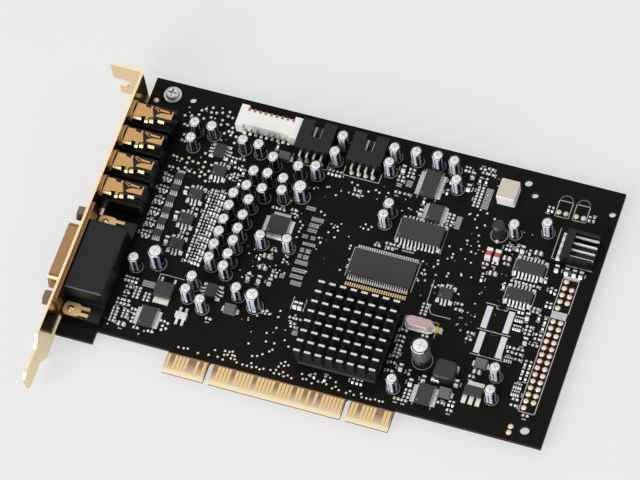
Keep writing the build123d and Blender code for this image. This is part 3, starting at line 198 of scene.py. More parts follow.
# Straight steps in a printed arc and in a capacitor's printed ring
ARC_STEPS = 18
RING_STEPS = 28
# Gap between a capacitor and its printed ring, and between a part and its printed frame
RING_GAP = 0.3
FRAME_GAP = 0.55
FRAMED_NODES = ("memory_chip", "logic_chips", "converter_chips", "crystal")
# Plain printed fields beside rows of small parts, each a grid of small marks: left, lower, right, upper
PRINT_FIELDS = [
    (69.6, 59.6, 74.0, 61.3), (69.6, 57.2, 73.0, 58.9), (69.6, 55.3, 73.0, 56.8), (68.6, 52.6, 70.7, 54.2),
    (71.6, 52.6, 73.3, 54.2), (69.6, 50.1, 74.2, 51.4), (69.6, 47.3, 71.0, 49.0), (71.5, 47.3, 73.4, 49.0),
    (69.6, 44.9, 71.0, 46.6), (71.5, 44.9, 73.4, 46.6), (69.4, 42.6, 73.9, 44.3), (69.4, 39.6, 74.3, 41.2),
    (69.4, 37.2, 74.0, 38.8), (70.4, 34.6, 74.3, 36.4), (66.5, 63.3, 69.9, 64.9), (96.9, 57.0, 101.6, 57.7),
    (102.9, 57.0, 107.2, 57.7), (22.3, 20.3, 26.8, 22.7), (66.1, 36.0, 67.8, 37.8),
    (93.2, 80.2, 95.2, 81.7), (96.4, 81.0, 98.6, 83.6), (117.0, 70.0, 119.0, 75.0),
    (123.5, 79.8, 126.0, 88.0), (77.0, 16.8, 79.0, 18.6), (138.5, 67.5, 140.0, 69.3),
]
# Steps of the grid across and up, and the share of a step that is inked
MARK_WIDTH = 0.5
MARK_HEIGHT = 0.66
MARK_SHARE = 0.72
# Further small fields, beside parts of these nodes where the board is free: half sizes, gap to the part
FIELD_NODES = ("chip_resistors", "chip_capacitors", "resistor_arrays", "diodes")
FIELD_HALF = (0.75, 0.33)
FIELD_GAP = 0.5
# Solid printed bands: left, lower, right, upper
PRINT_BANDS = [(158.2, 46.8, 163.5, 49.5), (158.2, 62.0, 163.8, 63.2)]
INK_HEIGHT = 0.02

# Collar of a jack behind the bracket: level of its middle, inner and outer radius, reach along the jack
COLLAR_LEVEL = 8.2
COLLAR_RADII = (3.3, 3.9)
COLLAR_REACH = 0.5
# Springs on a jack's ridge, from its middle line: the plates' lower and upper level and their cut outlines
SPRING_LEVELS = (10.9, 11.15)
SPRING_PLATES = (
    ((0.3, -3.2), (3.1, -3.2), (3.1, -2.5), (4.9, -2.4), (4.9, -3.6), (6.0, -3.6), (6.0, -2.3), (7.4, -1.9),
     (6.4, 0.5), (6.1, 1.0), (6.1, 2.2), (5.4, 2.2), (5.4, 1.1), (3.4, 1.5), (3.4, 2.2), (0.4, 2.2)),
    ((8.2, -1.4), (13.7, -1.4), (13.7, 1.9), (13.2, 1.9), (13.2, 0.7), (11.6, 0.5), (9.6, 0.3), (8.2, -0.7)),
    ((8.9, 1.0), (12.3, 0.95), (12.3, 1.6), (8.9, 1.8)),
    ((6.7, 1.7), (8.7, 0.5), (8.8, 0.75), (6.8, 1.95)),
    ((7.0, 2.1), (8.9, 1.5), (9.0, 1.75), (7.1, 2.35)),
)
# Legs down the ridge: start and stop of each, their front and back, their foot and head below the plates
SPRING_LEGS = ((4.9, 6.0), (6.5, 7.5), (9.6, 11.4))
LEG_FACES = (-2.6, -2.4)
LEG_DROPS = (2.9, 0.05)
# Lips bent down in front of the ridge: start, stop, bend and root of each, and how far they run out and fall
SPRING_LIPS = (
    (0.3, 3.5, -3.3, -3.0), (4.9, 6.0, -3.9, -3.4), (6.5, 7.9, -3.5, -2.9), (9.4, 11.6, -2.7, -2.4),
)
LIP_OUT = 0.5
LIP_FALLS = (0.6, 0.85)
# Rivet of a board lock: place along the lock, how deep it sits, and its dome as radius and height
RIVET_PLACE = 2.6
RIVET_SINK = 0.05
RIVET_DOME = ((1.25, 0.0), (1.2, 0.25), (0.95, 0.5), (0.6, 0.66), (0.2, 0.72))
# Solder at the pins of the wire and the digital header: half width, reach before and behind the pin's front
# face, height, chamfer
WIRE_FOOT = (0.55, 0.6, 0.5, 0.7, 0.25)
DIGITAL_FOOT = (1.0, 0.7, 0.9, 0.25, 0.2)
# Back of the wire header's roof from its front, and the pin tips there: half width, reach before and behind
# the roof's back, depth below its top, rise above it
WIRE_ROOF = 6.9
WIRE_TIP = (0.5, 0.8, 0.4, 0.6, 0.03)
# Round solder at an audio header's pin and at the drum coil's lead, as radius and height, and their places
PIN_JOINT = ((0.85, 0.0), (0.7, 0.2), (0.5, 0.8), (0.42, 1.0))
AUDIO_PIN_HALF = 0.32
DRUM_JOINT = ((0.7, 0.0), (0.62, 0.3), (0.4, 0.7), (0.15, 0.85))
DRUM_JOINT_GAP = 0.4
# Ends of a diode: inset from its sides, reach out of it and into it, height, chamfer
DIODE_ENDS = (0.8, 0.7, 0.1, 0.35, 0.1)
# Solder cone round a trimmed lead: how much wider than the lead, height
CONE_PROFILE = ((0.6, 0.0), (0.36, 0.25), (0.14, 0.7), (0.06, 1.1))
# How a solder fillet sags: share of its reach, share of its height
FILLET_SAG = (0.45, 0.42)

# Sleeve of a can capacitor: share of its radius with height above its foot, then with depth below its top
SLEEVE_FOOT = ((0.8, 0.0), (0.97, 0.08), (1.0, 0.3), (1.0, 0.9), (0.94, 1.2), (0.94, 1.5), (1.0, 1.8))
SLEEVE_SHOULDER = ((1.0, 0.45), (0.985, 0.2), (0.92, 0.05), (0.87, 0.03), (0.82, 0.12), (0.8, 0.3))
# Height that the sleeve's roll and the can add to the solid's
SLEEVE_RISE = 0.35
# Grooves round the widest sleeve of the right half: share of its radius and rise, first height, step, count
GROOVE = ((1.0, 0.0), (0.965, 0.12), (0.965, 0.3), (1.0, 0.42))
GROOVE_START = 2.2
GROOVE_STEP = 0.8
GROOVE_COUNT = 3
# That sleeve is silver: it is wider than this radius, and stands right of this place
SILVER_RADIUS = 3.0
SILVER_LEFT = 100.0
# Facets round a sleeve, those of its bright and of its faint painted highlight bands, and those of its
# shoulder's painted highlight
SLEEVE_FACETS = 36
BANDS = ((21, 22, 23, 25, 26, 27), (31, 32))
SHOULDER_HIGHLIGHT = range(20, 31)
# Rows of facets up a sleeve: the first that carries painted highlight bands, and how many of the shoulder
# carry its painted highlight
FIRST_HIGHLIGHT_ROW = 2
SHOULDER_HIGHLIGHT_ROWS = 2
# Sleeves with only faint painted highlight bands: their facets, and the place that they stand left of and
# above
FAINT_HIGHLIGHT_BANDS = ((), (22, 25, 31))
FAINT_HIGHLIGHT_BANK = (62.0, 47.0)
# Can inside a sleeve: shares of the sleeve's radius for its wall and lid, height of its foot above the
# sleeve's, and depths of its edge and lid below the sleeve's top
CAN_SHARES = (0.79, 0.75)
CAN_FOOT = 0.4
CAN_DEPTHS = (0.16, 0.1)
# Cross pressed into the lid: share of the sleeve's radius, width, depths of its lower and upper face
SCORE_REACH = 0.52
SCORE_WIDTH = 0.24
SCORE_DEPTHS = (0.11, 0.08)

# Chips over this length have a mark at their first lead, this far in, drawn as radius and height
MARKED_CHIP = 4.5
LEAD_MARK_INSET = 0.9
LEAD_MARK = ((0.42, 0.0), (0.36, 0.015))
# Solder at a lead's foot: leads over this width are broad; reach and widening at broad and at fine leads
BROAD_LEAD = 0.33
BROAD_FOOT = (0.68, 0.08)
FINE_FOOT = (0.45, 0.1)
FOOT_HEIGHT = 0.22
FINE_PAD_HEIGHT = 0.06
# A chip part is crowded if more than this many middles, its own among them, lie within reach
CROWD_REACH = 2.0
CROWD_COUNT = 4
# Solder at a chip part's ends: reach of the fillet, trim of each side, share of the usual end
FREE_END = (0.38, 0.0, 1.0)
CROWDED_END = (0.14, 0.13, 0.9)
# Thickness of an end's metal over the body, chamfers of body and end, share of the height that solder climbs
END_WRAP = 0.03
BODY_EDGE = 0.05
END_EDGE = 0.06
FILLET_RISE = 0.6
# Ends of a resistor array: inset of the body, ends a side, gap as a share of their step, depth of an end,
# reach and height of its fillet
ARRAY_ENDS = (0.14, 4, 0.16, 0.48, 0.34, 0.35)

# Camera at the place worked out from the contacts' and the bracket's standard sizes, and its target
CAMERA_SPOT = (368.5, -498.0, 1154.5)
CAMERA_AIM = (74.90, 53.34, 0.0)
SENSOR_WIDTH = 36.0
CLIP_END = 40.0
# Softboxes: metres from the point that they aim at, and width
LAMP_AIM = (79.0, 40.0)
SOFTBOXES = {
    "key": ((-0.54, -1.01, 0.61), 0.8),
    "fill": ((0.95, 0.15, 0.90), 0.8),
    "top": ((-0.33, 0.62, 1.30), 1.0),
}
FLOOR_REACH = 20.0
# Height on the unit sphere at which the walls' light has given way to the ceiling's
CEILING_START = 0.6

# Sockets of a colour mix, which share their names with those of other kinds of mix
COLOURS = {"data_type": "RGBA"}
MIX_SHARE, MIX_FIRST, MIX_SECOND, MIX_RESULT = 0, 6, 7, 2
# Fineness of every noise, and how strongly the relief shades
NOISE_DETAIL = 3.0
RELIEF_STRENGTH = 0.5
# Points nearer than this are one, in metres
SAME_POINT = 1e-7


def linear(code):
    """Turn an sRGB hex colour into the linear values that a shader takes."""
    parts = [int(code[i:i + 2], 16) / 255 for i in (1, 3, 5)]
    return tuple(c / 12.92 if c <= 0.04045 else ((c + 0.055) / 1.055) ** 2.4 for c in parts) + (1.0,)


def colour(name, description, code):
    """A colour that a user can change."""
    return FloatVectorProperty(
        name=name, description=description, subtype="COLOR", size=4, min=0.0, max=1.0, default=linear(code)
    )


def length(name, description, millimetres):
    """A length that a user can change."""
    return FloatProperty(name=name, description=description, unit="LENGTH", min=0.0, default=millimetres * MM)


def amount(name, description, default, unit="NONE"):
    """A number that a user can change."""
    return FloatProperty(name=name, description=description, default=default, unit=unit)


class BoardLooks(bpy.types.PropertyGroup):
    """Colours and sizes of the bare board."""

    mask: colour("Solder mask", "Black lacquer over the laminate", "#0E0B05")
    mask_light: colour("Solder mask, raised", "Black lacquer where copper lies close under it", "#1A160D")
    laminate: colour("Bare laminate", "Uncoated glass fibre between the edge contacts", "#94775C")
    bevel: colour("Bevelled laminate", "Glass fibre laid open by the bevel of the edge", "#EAD8B6")
    cut_edge: colour("Cut edge", "Routed edge of the board", "#2B2418")
    ink: colour("Printing ink", "Part outlines", "#C2C2C1")
    land: colour("Land", "Gold-flashed copper round a joint", "#9A6C3A")
    wide_hole: length("Wide plated hole", "Radius of the land of a wide plated hole", 0.52)
    plated_hole: length("Plated hole", "Radius of the land of a plated hole", 0.4)
    print_width: length("Printed line", "Width of a printed outline", 0.26)
    seed: IntProperty(
        name="Seed", description="Where small plated holes and printed fields fall, and how sleeves turn",
        default=7,
    )


class MetalLooks(bpy.types.PropertyGroup):
    """Colours of the metals."""

    bracket: colour("Bracket", "Gold plate on the folded bracket", "#EFD6AC")
    spring: colour("Springs", "Gold flash on the jack springs", "#C69B68")
    # On the jack collars and the springs' lips this pale gold is a painted highlight
    contact: colour("Contacts", "Hard gold on the edge contacts, board locks and collars", "#EECB92")
    solder: colour("Solder", "Tinned leads and joints", "#F4F0EF")
    flooded: colour("Flooded land", "Solder over gold on bare lands and plated holes", "#F8EDDC")
    tin: colour("Tin plate", "Dull tin on the long lands and the line filter", "#E9E3EC")
    can: colour("Can", "Bare aluminium of the capacitor tops", "#F6F5F4")
    score: colour("Scored vent", "Pressed lines across the capacitor tops", "#BDBABD")
    crystal: colour("Crystal", "Nickel on the crystal's can", "#B5A099")
    # The walls and the rim of the crystal's can are painted pale as a painted highlight
    crystal_rim: colour("Crystal rim", "Seam-welded rim of the crystal's can", "#F2EEEC")
    shell: colour("Shell", "Passivated zinc on the connector's shell", "#A8845F")
    zinc: colour("Screw", "Zinc on the bracket screw", "#D8D4CD")
    jackscrew: colour("Jackscrew", "Nickel on the jackscrews", "#7D6A62")
    copper: colour("Pin tips", "Bronze tips of the wire header", "#A8755C")


class PlasticLooks(bpy.types.PropertyGroup):
    """Colours of plastics, films and ceramics."""

    black_nylon: colour("Black nylon", "Jack, connector and header housings", "#101010")
    white_nylon: colour("White nylon", "Wire header", "#F3F1EC")
    chip: colour("Chip body", "Moulded epoxy", "#403E3B")
    film: colour("Sleeve", "Shrunk film on the capacitors", "#11131B")
    # The sleeve's two stripe colours are painted highlights of the softboxes
    stripe: colour("Sleeve stripe", "Pale band on the sleeve", "#D5DDEB")
    faint_stripe: colour("Faint stripe", "Second, fainter band on the sleeve", "#8A95AA")
    silver_film: colour("Silver sleeve", "Film on the widest capacitor of the right half", "#7C7D82")
    anodised: colour("Anodised", "Dyed oxide on the heat sink", "#1B1B1C")
    fin_top: colour("Fin tops", "Sawn aluminium", "#E2E2E2")
    box: colour("Film capacitor", "Cream box", "#FBF8F2")
    box_top: colour("Film capacitor, top", "Tan flood printed on the box", "#D3C8B4")
    # The box's darker top is painted shade
    ferrite: colour("Coil cores", "Ferrite of the coils", "#221C18")
    bead: colour("Beads", "Lacquer of the chip beads", "#BC562D")
    diode: colour("Diodes", "Grey epoxy", "#6C6A65")
    resistor: colour("Resistors", "Glaze over the film", "#17171A")
    ceramic: colour("Ceramic", "Body of the chip capacitors", "#4E4037")
    tantalum: colour("Tantalum", "Resin of the tantalum chip", "#D2AE58")
    sheet: colour("Thermal sheet", "Filled silicone under the heat sink", "#8E8E88")


class StageLooks(bpy.types.PropertyGroup):
    """Camera, floor and light."""

    floor: colour("Floor", "Pale sweep under the card", "#EBEBEA")
    floor_glow: FloatProperty(
        name="Floor glow", description="Share of the floor that stays pale in the card's shade", default=0.7,
        min=0.0, max=1.0, subtype="FACTOR",
    )
    lens: amount("Lens", "Focal length on a 36 mm sensor", 218.3, "CAMERA")
    roll: amount("Roll", "Turn about the line of sight", math.radians(-10.70), "ROTATION")
    key_watts: amount("Key", "Power of the front left softbox", 14.9, "POWER")
    fill_watts: amount("Fill", "Power of the right softbox", 2.5, "POWER")
    top_watts: amount("Top", "Power of the overhead softbox", 2.6, "POWER")
    walls: amount("Walls", "Strength of the light from the pale walls", 0.83)
    ceiling: amount("Ceiling", "Strength of the light from the dim ceiling", 0.35)


def place(x, y, z=0.0):
    """Board millimetres to the frame's metres."""
    return DECK + Vector((x, y, z)) * MM


def under(profile):
    """The mirror image of a round form's profile, on the board's lower face."""
    return [(radius, -BOARD_THICKNESS - rise) for radius, rise in reversed(profile)]


def add(tree, kind, settings=None, inputs=None):
    """Add a node to a tree, apply its settings, and set its inputs or link them to other nodes' sockets."""
    node = tree.nodes.new(kind)
    for name, value in (settings or {}).items():
        setattr(node, name, value)
    for name, value in (inputs or {}).items():
        if isinstance(value, bpy.types.NodeSocket):
            tree.links.new(value, node.inputs[name])
        else:
            node.inputs[name].default_value = value
    return node


def mottled(value, change):
    """A darker and a lighter tone of one colour."""
    return [tuple(min(1.0, part * factor) for part in value[:3]) + (1.0,) for factor in (change, 2 - change)]


def surface(name, tones, patch, rough, relief, depth, along=(1.0, 1.0, 1.0), specular=0.5, **sockets):
    """A finish whose tone and gloss change in patches over a fine relief, both fixed to the card.

    The patches, the relief and its depth are given in millimetres, and are longer where along is small.
    Returns the material, its tree, its shader and the socket of its tone.
    """
    material = bpy.data.materials.new(name)
    material.use_nodes = True
    tree = material.node_tree
    tree.nodes.clear()
    spot = add(tree, "ShaderNodeTexCoord")
    laid = add(tree, "ShaderNodeMapping", inputs={"Vector": spot.outputs["Object"], "Scale": along})
    clouds, grit = [
        add(tree, "ShaderNodeTexNoise", inputs={
            "Vector": laid.outputs[0], "Scale": 1 / (size * MM), "Detail": NOISE_DETAIL,
        })
        for size in (patch, relief)
    ]
    tone = add(tree, "ShaderNodeMix", COLOURS, {
        MIX_SHARE: clouds.outputs[0], MIX_FIRST: tones[0], MIX_SECOND: tones[1],
    })
    gloss = add(tree, "ShaderNodeMapRange", inputs={
        "Value": clouds.outputs[0], "To Min": rough[0], "To Max": rough[1],
    })
    bump = add(tree, "ShaderNodeBump", inputs={
        "Height": grit.outputs[0], "Distance": depth * MM, "Strength": RELIEF_STRENGTH,
    })
    shader = add(tree, "ShaderNodeBsdfPrincipled", inputs={
        "Base Color": tone.outputs[MIX_RESULT], "Roughness": gloss.outputs[0], "Normal": bump.outputs[0],
        "Specular IOR Level": specular, **sockets,
    })
    add(tree, "ShaderNodeOutputMaterial", inputs={"Surface": shader.outputs[0]})
    return material, tree, shader, tone.outputs[MIX_RESULT]


def plain(name, tone, change, **pattern):
    """A finish in a darker and a lighter tone of one colour."""
    return surface(name, mottled(tone, change), **pattern)[0]


def upper_faces(tree, least, height=None):
    """Socket that is 1 where a normal points up by at least so much, above a height if one is given."""
    shape = add(tree, "ShaderNodeNewGeometry")
    turned = add(tree, "ShaderNodeSeparateXYZ", inputs={0: shape.outputs["True Normal"]})
    level = add(tree, "ShaderNodeMath", {"operation": "GREATER_THAN"}, {0: turned.outputs["Z"], 1: least})
    if height is None:
        return level.outputs[0]
    spot = add(tree, "ShaderNodeTexCoord")
    axes = add(tree, "ShaderNodeSeparateXYZ", inputs={0: spot.outputs["Object"]})
    above = add(tree, "ShaderNodeMath", {"operation": "GREATER_THAN"}, {0: axes.outputs["Z"], 1: height})
    both = add(tree, "ShaderNodeMath", {"operation": "MULTIPLY"}, {0: above.outputs[0], 1: level.outputs[0]})
    return both.outputs[0]


def solder_mask(scene):
    """Cured solder mask over etched copper and glass fibre, bare on the tongue and along the cut edge."""
    # A thin lacquer on tracks a few millimetres apart: near black, a dull sheen, a shade lighter over copper.
    looks = scene.card_board
    material, tree, shader, lacquer = surface(
        "cured_solder_mask", (looks.mask, looks.mask_light), patch=4.0, rough=(0.45, 0.6), relief=0.5,
        depth=0.01, along=(1.0, 2.0, 1.0), specular=0.1, IOR=1.5,
    )
    spot = add(tree, "ShaderNodeTexCoord")
    axes = add(tree, "ShaderNodeSeparateXYZ", inputs={0: spot.outputs["Object"]})
    left, top = place(TONGUE_LEFT, TONGUE_TOP).xy
    low = add(tree, "ShaderNodeMath", {"operation": "LESS_THAN"}, {0: axes.outputs["Y"], 1: top})
    right = add(tree, "ShaderNodeMath", {"operation": "GREATER_THAN"}, {0: axes.outputs["X"], 1: left})
    bare = add(tree, "ShaderNodeMath", {"operation": "MULTIPLY"}, {0: low.outputs[0], 1: right.outputs[0]})
    fade = [place(0, height).y for height in BEVEL_FADE]
    towards_bevel = add(tree, "ShaderNodeMapRange", inputs={
        "Value": axes.outputs["Y"], "From Min": fade[0], "From Max": fade[1],
    })
    glass = add(tree, "ShaderNodeMix", COLOURS, {
        MIX_SHARE: towards_bevel.outputs[0], MIX_FIRST: looks.laminate, MIX_SECOND: looks.bevel,
    })
    faces = add(tree, "ShaderNodeMix", COLOURS, {
        MIX_SHARE: bare.outputs[0], MIX_FIRST: lacquer, MIX_SECOND: glass.outputs[MIX_RESULT],
    })
    shape = add(tree, "ShaderNodeNewGeometry")
    turned = add(tree, "ShaderNodeSeparateXYZ", inputs={0: shape.outputs["True Normal"]})
    level = add(tree, "ShaderNodeMath", {"operation": "ABSOLUTE"}, {0: turned.outputs["Z"]})
    cut = add(tree, "ShaderNodeMath", {"operation": "LESS_THAN"}, {0: level.outputs[0], 1: CUT_EDGE_TILT})
    whole = add(tree, "ShaderNodeMix", COLOURS, {
        MIX_SHARE: cut.outputs[0], MIX_FIRST: faces.outputs[MIX_RESULT], MIX_SECOND: looks.cut_edge,
    })
    tree.links.new(whole.outputs[MIX_RESULT], shader.inputs["Base Color"])
    return material


def printing_ink(scene):
    """Epoxy ink, screen printed on the mask."""
    # Pressed through a mesh of about 0.1 mm, drawn at 0.3 mm so that it shows: thin, matt, broken grey.
    return plain(
        "screen_printed_ink", scene.card_board.ink, 0.75, patch=0.3, rough=(0.6, 0.75), relief=0.3,
        depth=0.005, specular=0.3, IOR=1.5,
    )


def flashed_copper(scene):
    """Gold-flashed copper left bare round a joint."""
    # Etched foil under a flash of gold: a thin brown-gold rim, dulled by flux in spots about 0.4 mm wide.
    return plain(
        "gold_flashed_copper", scene.card_board.land, 0.8, patch=0.4, rough=(0.4, 0.55), relief=0.2,
        depth=0.006, Metallic=0.6,
    )


def bracket_gold(scene):
    """Gold plate on pressed steel strip."""
    # Rolled strip, then plated: pale warm metal that mirrors what is near it, with faint lines along the
    # strip, a few hundredths wide on the real one and drawn 0.3 mm wide so that they show.
    return plain(
        "gold_plated_pressed_steel", scene.card_metals.bracket, 0.92, patch=1.2, rough=(0.14, 0.24),
        relief=0.3, depth=0.004, along=(1.0, 0.12, 1.0), Metallic=1.0,
    )


def spring_gold(scene):
    """Gold flash on stamped bronze springs."""
    # Stamped and bent strip: deep gold, half bright, tarnished in patches of a millimetre.
    return plain(
        "gold_flashed_stamped_bronze", scene.card_metals.spring, 0.8, patch=1.0, rough=(0.24, 0.36),
        relief=0.25, depth=0.006, Metallic=1.0,
    )


def contact_gold(scene):
    """Hard gold plated over copper."""
    # Plated flat and wiped by each insertion: pale, even yellow with streaks along the stroke, real ones
    # a hundredth wide and drawn 0.15 mm wide so that they show.
    # On the jack collars and the springs' lips this pale gold is a painted highlight, paler than the springs'
    # own gold
    return plain(
        "hard_gold_plated_copper", scene.card_metals.contact, 0.92, patch=0.8, rough=(0.3, 0.42),
        relief=0.15, depth=0.004, along=(1.0, 0.15, 1.0), Metallic=0.6,
    )


def solder(scene):
    """Tin solder, melted over leads and joints."""
    # Frozen from the melt in grains of about 0.2 mm: silver white, softly bright, each joint a bit different.
    return plain(
        "reflowed_tin_solder", scene.card_metals.solder, 0.88, patch=0.5, rough=(0.36, 0.52), relief=0.2,
        depth=0.01, Metallic=0.45,
    )


def flooded_land(scene):
    """Solder drawn over gold-flashed lands."""
    # A thin pool over gold: cream rather than silver, domed, with a soft highlight.
    return plain(
        "solder_over_gold", scene.card_metals.flooded, 0.88, patch=0.5, rough=(0.34, 0.5), relief=0.25,
        depth=0.01, Metallic=0.45,
    )


def tin(scene):
    """Dull tin, plated from a bath."""
    # Matt plating of crystals too fine to see, drawn 0.4 mm across: near white with a touch of lilac.
    return plain(
        "matt_plated_tin", scene.card_metals.tin, 0.9, patch=0.4, rough=(0.45, 0.6), relief=0.2,
        depth=0.006, Metallic=0.35,
    )


def aluminium(scene):
    """Deep-drawn aluminium, etched before the sleeve goes on."""
    # Drawn and etched: white, nearly matt, with a clouding of about 0.6 mm.
    return plain(
        "etched_drawn_aluminium", scene.card_metals.can, 0.93, patch=0.6, rough=(0.42, 0.56), relief=0.12,
        depth=0.004, Metallic=0.3,
    )


def scored_aluminium(scene):
    """Vent lines pressed into the can's top."""
    # The press burnishes and shades the groove: grey, streaked in steps of about 0.3 mm.
    return plain(
        "pressed_aluminium_score", scene.card_metals.score, 0.85, patch=0.3, rough=(0.35, 0.5), relief=0.1,
        depth=0.006, Metallic=0.5,
    )


def crystal_can(scene):
    """Nickel-plated can, its rim welded to the base."""
    # Drawn smooth and plated: a warm grey top with soft reflections, over duller walls and rim that are
    # painted pale as a painted highlight.
    looks = scene.card_metals
    rim_top, level, rim_metal = 0.6, 0.5, 0.2
    material, tree, shader, can = surface(
        "nickel_plated_drawn_can", mottled(looks.crystal, 0.93), patch=1.5, rough=(0.22, 0.34), relief=0.4,
        depth=0.006,
    )
    top = upper_faces(tree, level, place(0, 0, rim_top).z)
    rim = looks.crystal_rim
    # Walls and rim below the top take the pale tone: a painted highlight
    whole = add(tree, "ShaderNodeMix", COLOURS, {MIX_SHARE: top, MIX_FIRST: rim, MIX_SECOND: can})
    metal = add(tree, "ShaderNodeMapRange", inputs={"Value": top, "To Min": rim_metal, "To Max": 1.0})
    tree.links.new(whole.outputs[MIX_RESULT], shader.inputs["Base Color"])
    tree.links.new(metal.outputs[0], shader.inputs["Metallic"])
    return material


def shell_zinc(scene):
    """Zinc plate with a yellow passivation, on drawn steel."""
    # The passivation stains unevenly over a millimetre or two: brown gold, half bright, slightly cloudy.
    return plain(
        "yellow_passivated_zinc", scene.card_metals.shell, 0.85, patch=1.6, rough=(0.26, 0.4), relief=0.3,
        depth=0.006, Metallic=1.0,
    )


def zinc(scene):
    """Bright zinc plate on a cold-headed steel screw."""
    # Headed and barrel plated: cool white metal with small knocks about half a millimetre across.
    return plain(
        "barrel_plated_zinc", scene.card_metals.zinc, 0.88, patch=0.6, rough=(0.28, 0.42), relief=0.4,
        depth=0.008, Metallic=0.9,
    )


def jackscrew_nickel(scene):
    """Nickel plate on turned steel."""
    # Turned on a lathe: brown grey, bright, with rings of tool marks drawn 0.2 mm apart so that they show.
    return plain(
        "nickel_plated_turned_steel", scene.card_metals.jackscrew, 0.85, patch=0.6, rough=(0.2, 0.34),
        relief=0.2, depth=0.006, along=(1.0, 0.3, 0.3), Metallic=1.0,
    )


def pin_bronze(scene):
    """Bare bronze at the cut ends of the wire header's pins."""
    # Sheared, so the plating ends: pink brown, dull, with tear marks about 0.2 mm wide.
    return plain(
        "sheared_bronze", scene.card_metals.copper, 0.8, patch=0.4, rough=(0.4, 0.55), relief=0.2,
        depth=0.01, Metallic=0.7,
    )


def black_nylon(scene):
    """Glass-filled nylon, moulded black."""
    # Spark-eroded moulds leave a grain near 0.05 mm, drawn at 0.15 mm: flat black with a dull sheen.
    # The mould's edges have a radius of 0.3 mm, which catches a thin line of light.
    edge_radius, edge_samples = 0.3, 6
    material, tree, shader, _ = surface(
        "moulded_black_nylon", mottled(scene.card_plastics.black_nylon, 0.85), patch=1.0, rough=(0.3, 0.42),
        relief=0.15, depth=0.008, specular=0.3, IOR=1.53,
    )
    edge = add(tree, "ShaderNodeBevel", {"samples": edge_samples}, {"Radius": edge_radius * MM})
    grain = shader.inputs["Normal"].links[0].from_node
    tree.links.new(edge.outputs[0], grain.inputs["Normal"])
    return material


def white_nylon(scene):
    """Nylon, moulded white."""
    # Light goes a little way in: bright and satin, with edges that never look hard.
    return plain(
        "moulded_white_nylon", scene.card_plastics.white_nylon, 0.97, patch=1.2, rough=(0.38, 0.5),
        relief=0.15, depth=0.008, IOR=1.53, **{
            "Subsurface Weight": 0.15, "Subsurface Radius": (1 * MM, 1 * MM, 1 * MM), "Subsurface Scale": 0.5,
        },
    )


def chip_epoxy(scene):
    """Silica-filled epoxy, transfer moulded."""
    # Filler grains of 0.05 mm, drawn at 0.3 mm: warm dark grey, matt, faintly peppered.
    return plain(
        "moulded_chip_epoxy", scene.card_plastics.chip, 0.82, patch=0.3, rough=(0.5, 0.66), relief=0.15,
        depth=0.015, specular=0.35, IOR=1.5,
    )


def shrunk_film(scene):
    """Polyester film, shrunk on with heat."""
    # Drawn tight over the can: blue black, glossy, with slow waves about a millimetre long.
    return plain(
        "shrunk_polyester_film", scene.card_plastics.film, 0.85, patch=1.5, rough=(0.18, 0.28), relief=1.0,
        depth=0.02, IOR=1.57,
    )


def film_stripe(scene):
    """Pale band on the film, a painted highlight where the softboxes shine on it."""
    # The same waves and gloss over a pale blue-white tone, which paints in the softboxes' highlight.
    return plain(
        "printed_film_stripe", scene.card_plastics.stripe, 0.88, patch=0.8, rough=(0.2, 0.3), relief=1.0,
        depth=0.02, IOR=1.57,
    )


def faint_film_stripe(scene):
    """Second, fainter painted highlight band on the film."""
    # The dark film shows through this dimmer painted highlight: slate blue under the same gloss.
    return plain(
        "thin_printed_film_stripe", scene.card_plastics.faint_stripe, 0.85, patch=0.8, rough=(0.2, 0.3),
        relief=1.0, depth=0.02, IOR=1.57,
    )


def silver_film(scene):
    """Metallised film, shrunk on with heat."""
    # Silver under clear gloss: mid grey, with the same slow waves.
    return plain(
        "metallised_film", scene.card_plastics.silver_film, 0.85, patch=1.2, rough=(0.24, 0.36), relief=1.0,
        depth=0.02, Metallic=0.4,
    )


def anodised_sink(scene):
    """Extruded aluminium, dyed black, then sawn to height."""
    # The dye is flat black down the fins, and the saw leaves bare white tops with streaks along its stroke.
    looks = scene.card_plastics
    sawn_depth, level, bare_metal = 0.05, 0.9, 0.4
    material, tree, shader, dyed = surface(
        "anodised_sawn_aluminium", mottled(looks.anodised, 0.8), patch=0.3, rough=(0.5, 0.62), relief=0.2,
        depth=0.008, along=(0.1, 1.0, 1.0), specular=0.25, IOR=1.6,
    )
    bare = upper_faces(tree, level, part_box("heat_sink")[1].z - sawn_depth * MM)
    whole = add(tree, "ShaderNodeMix", COLOURS, {MIX_SHARE: bare, MIX_FIRST: dyed, MIX_SECOND: looks.fin_top})
    metal = add(tree, "ShaderNodeMath", {"operation": "MULTIPLY"}, {0: bare, 1: bare_metal})
    tree.links.new(whole.outputs[MIX_RESULT], shader.inputs["Base Color"])
    tree.links.new(metal.outputs[0], shader.inputs["Metallic"])
    return material


def cream_box(scene):
    """Polyester box, moulded."""
    # Opaque filled resin: cream and satin, with flow marks about 1.5 mm long, and a darker tan top that is
    # painted shade.
    looks = scene.card_plastics
    level = 0.8
    material, tree, shader, cream = surface(
        "moulded_cream_polyester", mottled(looks.box, 0.97), patch=1.5, rough=(0.42, 0.54), relief=0.2,
        depth=0.008, IOR=1.55,
    )
    # Upward faces take the darker tan: painted shade on the top
    top = upper_faces(tree, level)
    whole = add(tree, "ShaderNodeMix", COLOURS, {MIX_SHARE: top, MIX_FIRST: cream, MIX_SECOND: looks.box_top})
    tree.links.new(whole.outputs[MIX_RESULT], shader.inputs["Base Color"])
    return material


def ferrite(scene):
    """Ferrite, pressed and sintered."""
    # Fired powder: brown black and matt, with pits about 0.2 mm wide.
    return plain(
        "sintered_ferrite", scene.card_plastics.ferrite, 0.75, patch=0.6, rough=(0.45, 0.6), relief=0.2,
        depth=0.02, specular=0.3, IOR=1.9,
    )


